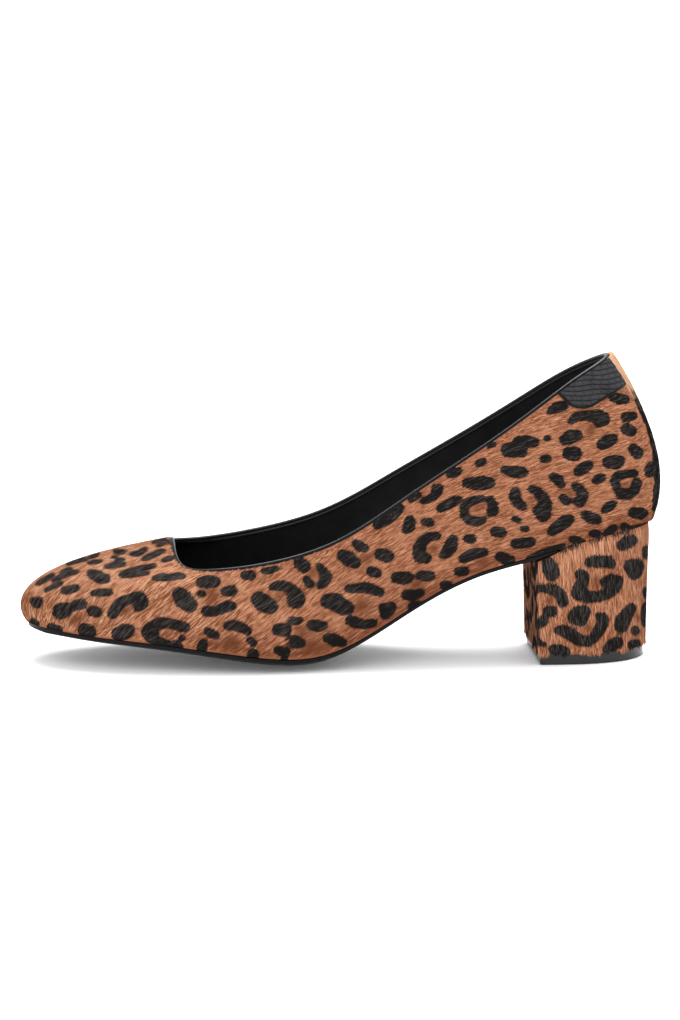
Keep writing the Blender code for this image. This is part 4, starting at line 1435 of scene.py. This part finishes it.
class PUMP_OT_binding(bpy.types.Operator):
    """Make the rolled binding on the topline."""

    bl_idname = "pump.make_binding"
    bl_label = "Topline binding"

    def execute(self, context):
        steps, bead_steps = BINDING_GRID
        u = np.linspace(0, 1, steps + 1)[:-1]
        _, _, high, rim = wall_controls(u)
        rising, normals = unit(rim - high), wall_normal(u, np.ones_like(u))
        turns = np.radians(np.linspace(*BEAD_TURN, bead_steps))
        radius = BEAD_RADIUS + BEAD_SWELL * ramp(np.abs(u - BACK_U), BEAD_SWELL_SHARE, 0)
        bead = np.stack([np.cos(turns), np.sin(turns) - 1], axis=-1) * radius[:, None, None]
        bead = bead + (-WALL / 2, 2 * BINDING_RADIUS + GAP)
        outer, inner = (np.array(side) * MM + 0 * bead[:, :1] for side in (BINDING_OUTER, BINDING_INNER))
        profile = np.concatenate([outer, bead, inner], axis=1)
        out, up = profile[..., :1], profile[..., 1:]
        pucker = PUCKER_HEIGHT * np.sin(u * 2 * math.pi * PUCKERS)[:, None, None] * (up > MM)
        ring = rim[:, None] + normals[:, None] * out + rising[:, None] * (up + pucker)
        mesh = sheet_mesh("bound_topline", ring, True, True)
        shine = np.concatenate([
            np.zeros(len(BINDING_OUTER)), np.clip(np.sin(turns), 0, 1),
            np.full(len(BINDING_INNER), INNER_SHINE)])
        set_attribute(mesh, "shine", np.broadcast_to(shine, ring.shape[:2]).reshape(-1))
        leather = context.scene.pump_trim.leather
        finish = leather_finish("black_leather", leather, roughness=0.5, shine=0.03, polish="shine")
        add_piece("bound_topline", mesh, "black_leather", "topline_binding", material=finish)
        return {"FINISHED"}


def tab_relief(trim, reach, height, edge):
    """Relief of a tab's scales inside its plain rim, and the painted shadow in the grooves between them and
    along the rim.
    """
    row = height / (trim.scale_length * SCALE_ASPECT) + ROW_WAVE * np.sin(reach / ROW_WAVE_LENGTH)
    number = np.floor(row)
    stray = 0.5 * np.mod(number, 2) + SCALE_STRAY * np.sin(number * SCALE_STRAY_TURN)
    across, along = 2 * np.mod(row, 1) - 1, 2 * np.mod(reach / trim.scale_length + stray, 1) - 1
    inside = ramp(edge, TAB_RIM, TAB_RIM + RIM_BLEND)
    scale = (1 - across**4) * (1 - along**6) * (1 - SCALE_TILT - SCALE_TILT * across)
    line = np.clip(RIM_LINE_CORE - np.abs(edge - TAB_RIM) / RIM_LINE, 0, 1)
    between_rows = ramp(np.abs(across), *ROW_GROOVE) * (1 - along**4) * ROW_GROOVE_SHADOW
    between_ends = ramp(np.abs(along), *END_GROOVE) * END_GROOVE_SHADOW
    groove = np.maximum(line, inside * np.maximum(between_rows, between_ends))
    return RIM_LEVEL + inside * (scale - RIM_LEVEL) - SCALE_SINK - LINE_SINK * line, groove


class PUMP_OT_tabs(bpy.types.Operator):
    """Make the two embossed heel tabs."""

    bl_idname = "pump.make_tabs"
    bl_label = "Heel tabs"

    def execute(self, context):
        trim = context.scene.pump_trim
        finish = leather_finish(
            "black_embossed", trim.embossed, roughness=0.42, grain=2400, depth=0.02 * MM, shine=0.1,
            groove="groove")
        a, b = even_grid(*TAB_GRID)
        depth = (1 - b) * (tab_depth(a) + TAB_TUCK) - TAB_TUCK
        reach = STRIP_HALF_WIDTH + GAP + (1 - a) * TAB_LENGTH
        t = 1 - depth / BACK_WALL_LENGTH
        edge = np.minimum(tab_depth(a) - depth, np.minimum(a, 1 - a + TAB_BACK_RIM) * TAB_LENGTH)
        rounded = np.sqrt(ramp(edge, 0, TAB_ROUNDING))
        for name, side in (("outer", -1), ("inner", 1)):
            u = u_from_back(side * reach, t)
            points, normals = wall_point(u, t), wall_normal(u, t)
            relief, groove = tab_relief(trim, reach, points[..., 2], edge)
            # painted shadow along the rim band, full at the back end beside the strip
            groove = np.maximum(groove, np.where(a > TAB_BACK_SHARE, 1.0, RIM_PAINTED_SHADE) * (edge < TAB_RIM))
            height = GAP + OVERLAY_THICKNESS * (TAB_EDGE_LEVEL + (1 - TAB_EDGE_LEVEL) * rounded)
            height = height + trim.scale_height * relief * rounded
            top, bottom = points + normals * height[..., None], points + normals * OVERLAY_UNDERSIDE
            if side > 0:
                top, bottom, groove = top[::-1], bottom[::-1], groove[::-1]
            mesh = slab_mesh("embossed_tab_" + name, top, bottom)
            set_attribute(mesh, "groove", np.concatenate([groove.ravel(), np.zeros(groove.size)]))
            add_piece("embossed_tab_" + name, mesh, "black_embossed", "heel_tab_" + name, material=finish)
        return {"FINISHED"}


def strip_grid():
    """Points, normals, thickness and heights of the back strip."""
    across, up = STRIP_GRID
    a, t = column(across), column(up, 0, 1 + STRIP_TUCK / BACK_WALL_LENGTH).T
    over_tabs = ramp(t, *STRIP_OVER_TABS)
    half_width = STRIP_HALF_WIDTH + STRIP_LAP * over_tabs
    reach = (2 * a - 1) * half_width
    u = u_from_back(reach, t)
    edge = np.minimum(half_width - np.abs(reach), t * BACK_WALL_LENGTH - STRIP_FOOT)
    rounded = np.sqrt(ramp(edge, 0, STRIP_ROUNDING))
    level = STRIP_EDGE_LEVEL + (1 - STRIP_EDGE_LEVEL) * rounded
    lap = STRIP_LAP_LEVEL - (STRIP_LAP_LEVEL - STRIP_LAP_CROWN) * rounded
    return wall_point(u, t), wall_normal(u, t), (GAP + OVERLAY_THICKNESS) * (level + over_tabs * lap), t


def strip_spot(t):
    """Depth inside the strip's black stretch, in millimetres."""
    return np.minimum(STRIP_BLACK[1] - t, t - STRIP_BLACK[0]) * BACK_WALL_LENGTH / MM


def strip_rim_light(t):
    """Share of painted rim light that pales the strip's top."""
    return ramp(t, *STRIP_RIM_LIGHT)


class PUMP_OT_back_strip(bpy.types.Operator):
    """Make the strip over the seam at the back, tan at the top and black below."""

    bl_idname = "pump.make_back_strip"
    bl_label = "Back strip"

    def execute(self, context):
        points, normals, height, t = strip_grid()
        top, bottom = points + normals * height[..., None], points + normals * OVERLAY_UNDERSIDE
        mesh = slab_mesh("hide_back_strip", top, bottom)
        # painted rim light pales the top of the strip's skin
        for name, values in (("spot", strip_spot(t)), ("centre", 0 * t), ("bleached", strip_rim_light(t))):
            values = np.broadcast_to(values, height.shape).ravel()
            set_attribute(mesh, name, np.concatenate([values, values]))
        skin = bpy.data.materials["spotted_skin"]
        add_piece("hide_back_strip", mesh, "spotted_hide", "back_strip", material=skin)
        return {"FINISHED"}


def raised(sheet, height):
    """A sheet's points at another height."""
    return np.stack([sheet[..., 0], sheet[..., 1], height], axis=-1)


def sole_faces(s, r):
    """Top and bottom of the sole, with its flat tread, thin edge and skived tongue."""
    overhang = np.interp(s, (0, SOLE_FULL_SHARE, 1), (SOLE_TOE_INSET, SOLE_OVERHANG, 0))
    outer_end, inner_end = side_u(SOLE_TONGUE_END, True), side_u(SOLE_TONGUE_END, False)
    outer = foot_edge(TOE_CORNER + s * (outer_end - TOE_CORNER), overhang)
    inner = foot_edge(1 - TOE_CORNER + s * (inner_end - 1 + TOE_CORNER), overhang)
    front = foot_edge(TOE_CORNER * (1 - 2 * r), SOLE_TOE_INSET)
    sheet = coons(outer, inner, front, outer[-1] + r[:, None] * (inner[-1] - outer[-1]))
    x, y = sheet[..., 0], sheet[..., 1]
    arch_end = BREAST_TOP - 2 * SOLE_EDGE
    before_heel = ramp(x, arch_end, arch_end - CROWN_FADE)
    low = seat_height(x, y, TOP_CROWN_SHARE + before_heel * (1 - TOP_CROWN_SHARE))
    width = np.linalg.norm(outer - inner, axis=1)[:, None]
    from_edge = np.minimum(np.minimum(r, 1 - r) * width, x - x.min())
    thickness = tongue_thickness(x)
    thinning = ramp(from_edge, SOLE_BEVEL, 0) * np.clip(thickness / SOLE_EDGE, LEAST_THINNING, 1)
    bottom = np.maximum(0, low - GAP - thickness + SOLE_THINNING * thinning)
    return raised(sheet, seat_height(x, y, TOP_CROWN_SHARE) - GAP), raised(sheet, bottom)


def sock_faces(s, r):
    """Top and bottom of the sock, which fills the foot's bed."""
    inset = -(WALL - SOCK_LAP)
    outer = foot_edge(TOE_CORNER + s * (HEEL_CORNER - TOE_CORNER), inset)
    inner = foot_edge(1 - TOE_CORNER - s * (HEEL_CORNER - TOE_CORNER), inset)
    back = foot_edge(HEEL_CORNER + r * (1 - 2 * HEEL_CORNER), inset)
    sheet = coons(outer, inner, foot_edge(TOE_CORNER * (1 - 2 * r), inset), back)
    bed = seat_height(sheet[..., 0], sheet[..., 1], TOP_CROWN_SHARE) + GAP
    return raised(sheet, bed + INSOLE_THICKNESS), raised(sheet, bed)


class PUMP_OT_sole(bpy.types.Operator):
    """Make the outsole with its tread and skived tongue, and the sock inside."""

    bl_idname = "pump.make_sole"
    bl_label = "Sole and sock"

    def execute(self, context):
        s, r = (np.linspace(0, 1, count) for count in SOLE_GRID)
        mesh = slab_mesh("sole", *sole_faces(s, r), sharp=0.7)
        finish = sole_finish("black_sole", context.scene.pump_sole.sole, roughness=0.42, shine=0.08)
        ease(add_piece("sole", mesh, "black_sole", "outsole", material=finish))
        mesh = slab_mesh("sock", *sock_faces(s, r), sharp=0.7)
        finish = leather_finish("black_sock", context.scene.pump_trim.lining, roughness=0.6, grain=1300)
        ease(add_piece("sock", mesh, "black_lining", "insole", material=finish))
        return {"FINISHED"}


class PUMP_OT_heel(bpy.types.Operator):
    """Make the covered heel and its lift."""

    bl_idname = "pump.make_heel"
    bl_label = "Heel and lift"

    def execute(self, context):
        loop = heel_loop()
        wall = heel_wall(loop, HEEL_RINGS)
        mesh = ring_solid("hide_heel", wall)
        for name, values in zip(("spot", "centre"), heel_marks(wall, ring_normals(wall))):
            set_attribute(mesh, name, values)
        skin = bpy.data.materials["spotted_skin"]
        add_piece("hide_heel", mesh, "spotted_hide", "heel_block", material=skin)
        heights = np.linspace(0, LIFT_THICKNESS, LIFT_RINGS)
        rings = [heel_foot(loop, LIFT_INSET, height) for height in heights]
        lift = ring_solid("lift", np.stack(rings, axis=1), sharp=0.6)
        finish = sole_finish("grey_rubber", context.scene.pump_sole.lift, roughness=0.28, shine=0.3)
        ease(add_piece("lift", lift, "grey_rubber", "heel_lift", material=finish))
        return {"FINISHED"}


# Hair of the heel: it hangs, is tousled and paler at the top, partly with cream hair and partly with
# painted light, and ends below in a thick ragged fringe. The breast is paler and more mixed.
HEEL_LEAN = 0.05
HEEL_RISE = 46 * MM
HEEL_SPREAD = 0.72
BREAST_SPREAD = 0.5
HEEL_TOP_PALE_AND_LIGHT = 0.22
BREAST_PALE = 0.12
HEEL_TOP_LOFT = 2.4
FRINGE_GROWTH = 2.5
FRINGE_REACH = 2.5 * MM
FRINGE_LOFT_REACH = 3 * MM
FRINGE_TRIMS = (0.05, 0.45)
FRINGE_TRIM_RISE = 0.6 / TRIM_REACH


def heel_skin(seed):
    """Grids of the heel's cover, closed around it."""
    wall = heel_wall(heel_loop(), HEEL_HAIR_RINGS)
    wall, normals = (np.concatenate([rings, rings[:1]]) for rings in (wall, ring_normals(wall)))
    spot, centre = heel_marks(wall, normals)
    around, height = column(len(wall)), column(wall.shape[1]).T
    room, breast = height * HEEL_RISE, on_breast(normals)
    ends = np.random.default_rng(seed).uniform(*FRINGE_TRIMS, len(wall) // 2 + 2)
    ends = np.interp(np.arange(len(wall)) / 2, np.arange(len(ends)), ends)[:, None]
    return {
        "points": wall, "skin_normal": normals, "flow": flat_on(np.array([HEEL_LEAN, 0, -1]), normals),
        "spot": spot, "centre": centre, "growth": 1 + FRINGE_GROWTH * ramp(room, FRINGE_REACH, 0),
        "trim": np.minimum(ends + room * FRINGE_TRIM_RISE, 1),
        "spread": HEEL_SPREAD + BREAST_SPREAD * breast,
        # the top of the heel is paled partly by painted light
        "pale": HEEL_TOP_PALE_AND_LIGHT * height**4 + BREAST_PALE * breast,
        "loft": 1 + HEEL_TOP_LOFT * height**6 + ramp(room, FRINGE_LOFT_REACH, 0),
        "place": sheet_place(around, height),
    }


# Tips that hang over the join between upper and heel: where they start along x, shares of the wall's
# height that they grow on, waves that place tufts between the charted ones, and their looks
SEAM_START = 80 * MM
SEAM_HEIGHTS = (0.002, 0.03)
SEAM_WAVES = (330, 190)
SEAM_WAVE_SINK = 1.75
SEAM_LEAN = 0.12
SEAM_GROWTH = 0.3
SEAM_SHEET_SCALE = 20


def seam_skin():
    """Grids of the wall's lowest edge over the heel."""
    rows, columns = SEAM_GRID
    u = column(rows, side_u(SEAM_START, True), side_u(SEAM_START, False))
    t = column(columns, *SEAM_HEIGHTS).T
    points, normals = wall_point(u, t), wall_normal(u, t)
    spot, _ = Markings(SEAM_MARKS, (), 0).read(points, normals)
    tufts = sum(np.sin(u * turn) for turn in SEAM_WAVES) - SEAM_WAVE_SINK
    spot = np.maximum(spot.reshape(points.shape[:2]), tufts)
    return {
        "points": points, "skin_normal": normals, "flow": flat_on(np.array([SEAM_LEAN, 0, -1]), normals),
        "spot": spot, "growth": np.clip(spot + SEAM_GROWTH, 0, 1), "trim": 0.8, "loft": 2.0, "pale": 0.1,
        "place": sheet_place(ramp(u, u[0], u[-1]), t * SEAM_SHEET_SCALE),
    }


# Hair of the back strip: its black edges, as a depth in millimetres at the middle and its rise to the
# edges, its cut, which is shorter at the foot, and its paleness, which at the top is painted rim light
STRIP_EDGE_DEPTH = -6.5
STRIP_EDGE_RISE = 8
STRIP_UNMARKED = -9
STRIP_TRIM = 0.7
STRIP_FOOT_TRIM = 0.3
STRIP_TRIM_RISE = 4
STRIP_HAIR_PALE_AND_RIM_LIGHT = (0.1, 0.85)


def strip_skin():
    """Grids of the back strip, whose hair lies downwards."""
    points, normals, height, t = strip_grid()
    points = points + normals * height[..., None]
    a = column(len(points))
    edges = np.abs(2 * a - 1) * STRIP_EDGE_RISE + STRIP_EDGE_DEPTH
    edges = np.where(t < STRIP_BARE, edges, STRIP_UNMARKED)
    pale, bleach = STRIP_HAIR_PALE_AND_RIM_LIGHT
    return {
        "points": points, "skin_normal": normals, "flow": unit(np.gradient(points, axis=1)) * -1,
        "spot": np.maximum(strip_spot(t), edges), "spread": 0.8, "pale": pale + bleach * strip_rim_light(t),
        "trim": STRIP_TRIM * np.clip(STRIP_FOOT_TRIM + STRIP_TRIM_RISE * t, STRIP_FOOT_TRIM, 1),
        "place": sheet_place(a, t),
    }


FOREPART_END = -24 * MM
SEED_STEP = 20


class PUMP_OT_hair(bpy.types.Operator):
    """Grow the short hair on the upper, the heel and the back strip, and over the heel's seam."""

    bl_idname = "pump.grow_hair"
    bl_label = "Hair"

    def execute(self, context):
        hide = context.scene.pump_hide
        coat = HairTree().tree, hide, hair_finish(hide)
        fore, inner_fore = side_u(FOREPART_END, True), side_u(FOREPART_END, False)
        short_streaks = {"streak": 2.8}
        pieces = (
            ("hair_outer_forepart", upper_skin(0.0, fore, FOREPART_ROWS), short_streaks),
            ("hair_outer_side", upper_skin(fore, BACK_U, SIDE_ROWS), short_streaks),
            ("hair_inner_side", upper_skin(BACK_U, inner_fore, SIDE_ROWS), short_streaks),
            ("hair_inner_forepart", upper_skin(inner_fore, 1.0, FOREPART_ROWS), short_streaks),
            ("hair_heel", heel_skin(hide.seed), {"length": 1.35, "width": 1.15, "streak": 6.0}),
            ("hair_back_strip", strip_skin(), {"fray": 7.0}),
            ("hair_seam", seam_skin(), {"density": 1.3}),
        )
        for number, (name, skin, looks) in enumerate(pieces):
            grow_hair(name, skin, coat, hide.seed + SEED_STEP * number, **looks)
        return {"FINISHED"}


FLOOR_HALF = 30.0
SENSOR_WIDTH = 36.0
OVERHEAD_PLACE = (0.1, 0.3, 1.2)
FRONT_PLACE = (-0.5, -1.5, 1.1)
FRONT_SIZE = 1.2


class PUMP_OT_stage(bpy.types.Operator):
    """Set the floor, the light and the photograph's camera."""

    bl_idname = "pump.set_stage"
    bl_label = "Stage"

    def execute(self, context):
        stage, scene = context.scene.pump_stage, context.scene
        self.lay_floor(stage)
        scene.world = self.white_world(stage.sky)
        scene.view_settings.view_transform = "Standard"
        overhead = bpy.data.lights.new("overhead", "SUN")
        overhead.energy, overhead.angle = stage.key, stage.key_spread
        self.place(overhead, OVERHEAD_PLACE, -Vector(OVERHEAD_PLACE))
        front = bpy.data.lights.new("front", "AREA")
        front.energy, front.size = stage.front, FRONT_SIZE
        self.place(front, FRONT_PLACE, -Vector(FRONT_PLACE))
        camera = bpy.data.cameras.new("camera")
        camera.sensor_fit, camera.sensor_width = "HORIZONTAL", SENSOR_WIDTH
        camera.lens = SENSOR_WIDTH * FOCAL_PIXELS / PHOTO_WIDTH
        scene.camera = self.place(camera, EYE + SHIFT, Vector(AHEAD))
        return {"FINISHED"}

    def lay_floor(self, stage):
        mesh = bpy.data.meshes.new("floor")
        corners = [(x * FLOOR_HALF, y * FLOOR_HALF, 0) for x, y in ((-1, -1), (1, -1), (1, 1), (-1, 1))]
        mesh.from_pydata(corners, [], [(0, 1, 2, 3)])
        finish = Finish(
            "pale_floor", base_color=tuple(stage.floor), roughness=0.6, specular_ior_level=0.2,
            emission_color=(1, 1, 1), emission_strength=stage.glow)
        mesh.materials.append(finish.material)
        floor = bpy.data.objects.new("floor", mesh)
        bpy.context.scene.collection.objects.link(floor)

    def white_world(self, strength):
        world = bpy.data.worlds.new("studio")
        world.use_nodes = True
        background = world.node_tree.nodes["Background"].inputs
        background["Color"].default_value = (1, 1, 1, 1)
        background["Strength"].default_value = strength
        return world

    def place(self, data, location, ahead):
        """Puts a light or camera in the scene, looking ahead."""
        item = bpy.data.objects.new(data.name, data)
        item.location = location
        item.rotation_euler = ahead.to_track_quat("-Z", "Y").to_euler()
        bpy.context.scene.collection.objects.link(item)
        return item


class PUMP_PT_panel(bpy.types.Panel):
    """The pump's pieces, in the order in which they are made."""

    bl_label = "Pump"
    bl_idname = "PUMP_PT_panel"
    bl_space_type = "VIEW_3D"
    bl_region_type = "UI"
    bl_category = "Pump"

    def draw(self, context):
        for operator in OPERATORS:
            self.layout.operator(operator.bl_idname)
        for group in SETTINGS:
            box = self.layout.box()
            for prop in getattr(context.scene, group).bl_rna.properties:
                if not prop.is_readonly and prop.identifier != "name":
                    box.prop(getattr(context.scene, group), prop.identifier)


def marked_hides():
    """Marks of the upper's hide and of the heel's, with their hidden sides filled."""
    rows, columns = SCATTER_GRID
    u, t = column(rows + 1)[:-1], column(columns, *SCATTER_HEIGHTS).T
    upper = Markings(UPPER_MARKS, CENTRES, seed=11)
    upper.scatter(wall_point(u, t), wall_normal(u, t), rounds=2, most_facing=0.02)
    wall = heel_wall(heel_loop(), HEEL_SCATTER_RINGS)
    heel = Markings(HEEL_MARKS, HEEL_CENTRES, seed=12)
    heel.scatter(wall, ring_normals(wall), rounds=3, most_facing=0.2)
    return upper, heel


UPPER_HIDE, HEEL_HIDE = marked_hides()
SETTINGS = {
    "pump_hide": HideSettings, "pump_trim": TrimSettings, "pump_sole": SoleSettings,
    "pump_stage": StageSettings,
}
OPERATORS = (
    PUMP_OT_upper, PUMP_OT_binding, PUMP_OT_tabs, PUMP_OT_back_strip, PUMP_OT_sole, PUMP_OT_heel,
    PUMP_OT_hair, PUMP_OT_stage,
)
CLASSES = (*SETTINGS.values(), *OPERATORS, PUMP_PT_panel)


def register():
    for cls in CLASSES:
        bpy.utils.register_class(cls)
    for name, group in SETTINGS.items():
        setattr(bpy.types.Scene, name, PointerProperty(type=group))


def unregister():
    for name in SETTINGS:
        delattr(bpy.types.Scene, name)
    for cls in reversed(CLASSES):
        bpy.utils.unregister_class(cls)


def main():
    register()
    for operator in OPERATORS:
        group, name = operator.bl_idname.split(".")
        getattr(getattr(bpy.ops, group), name)()


if __name__ == "__main__":
    main()
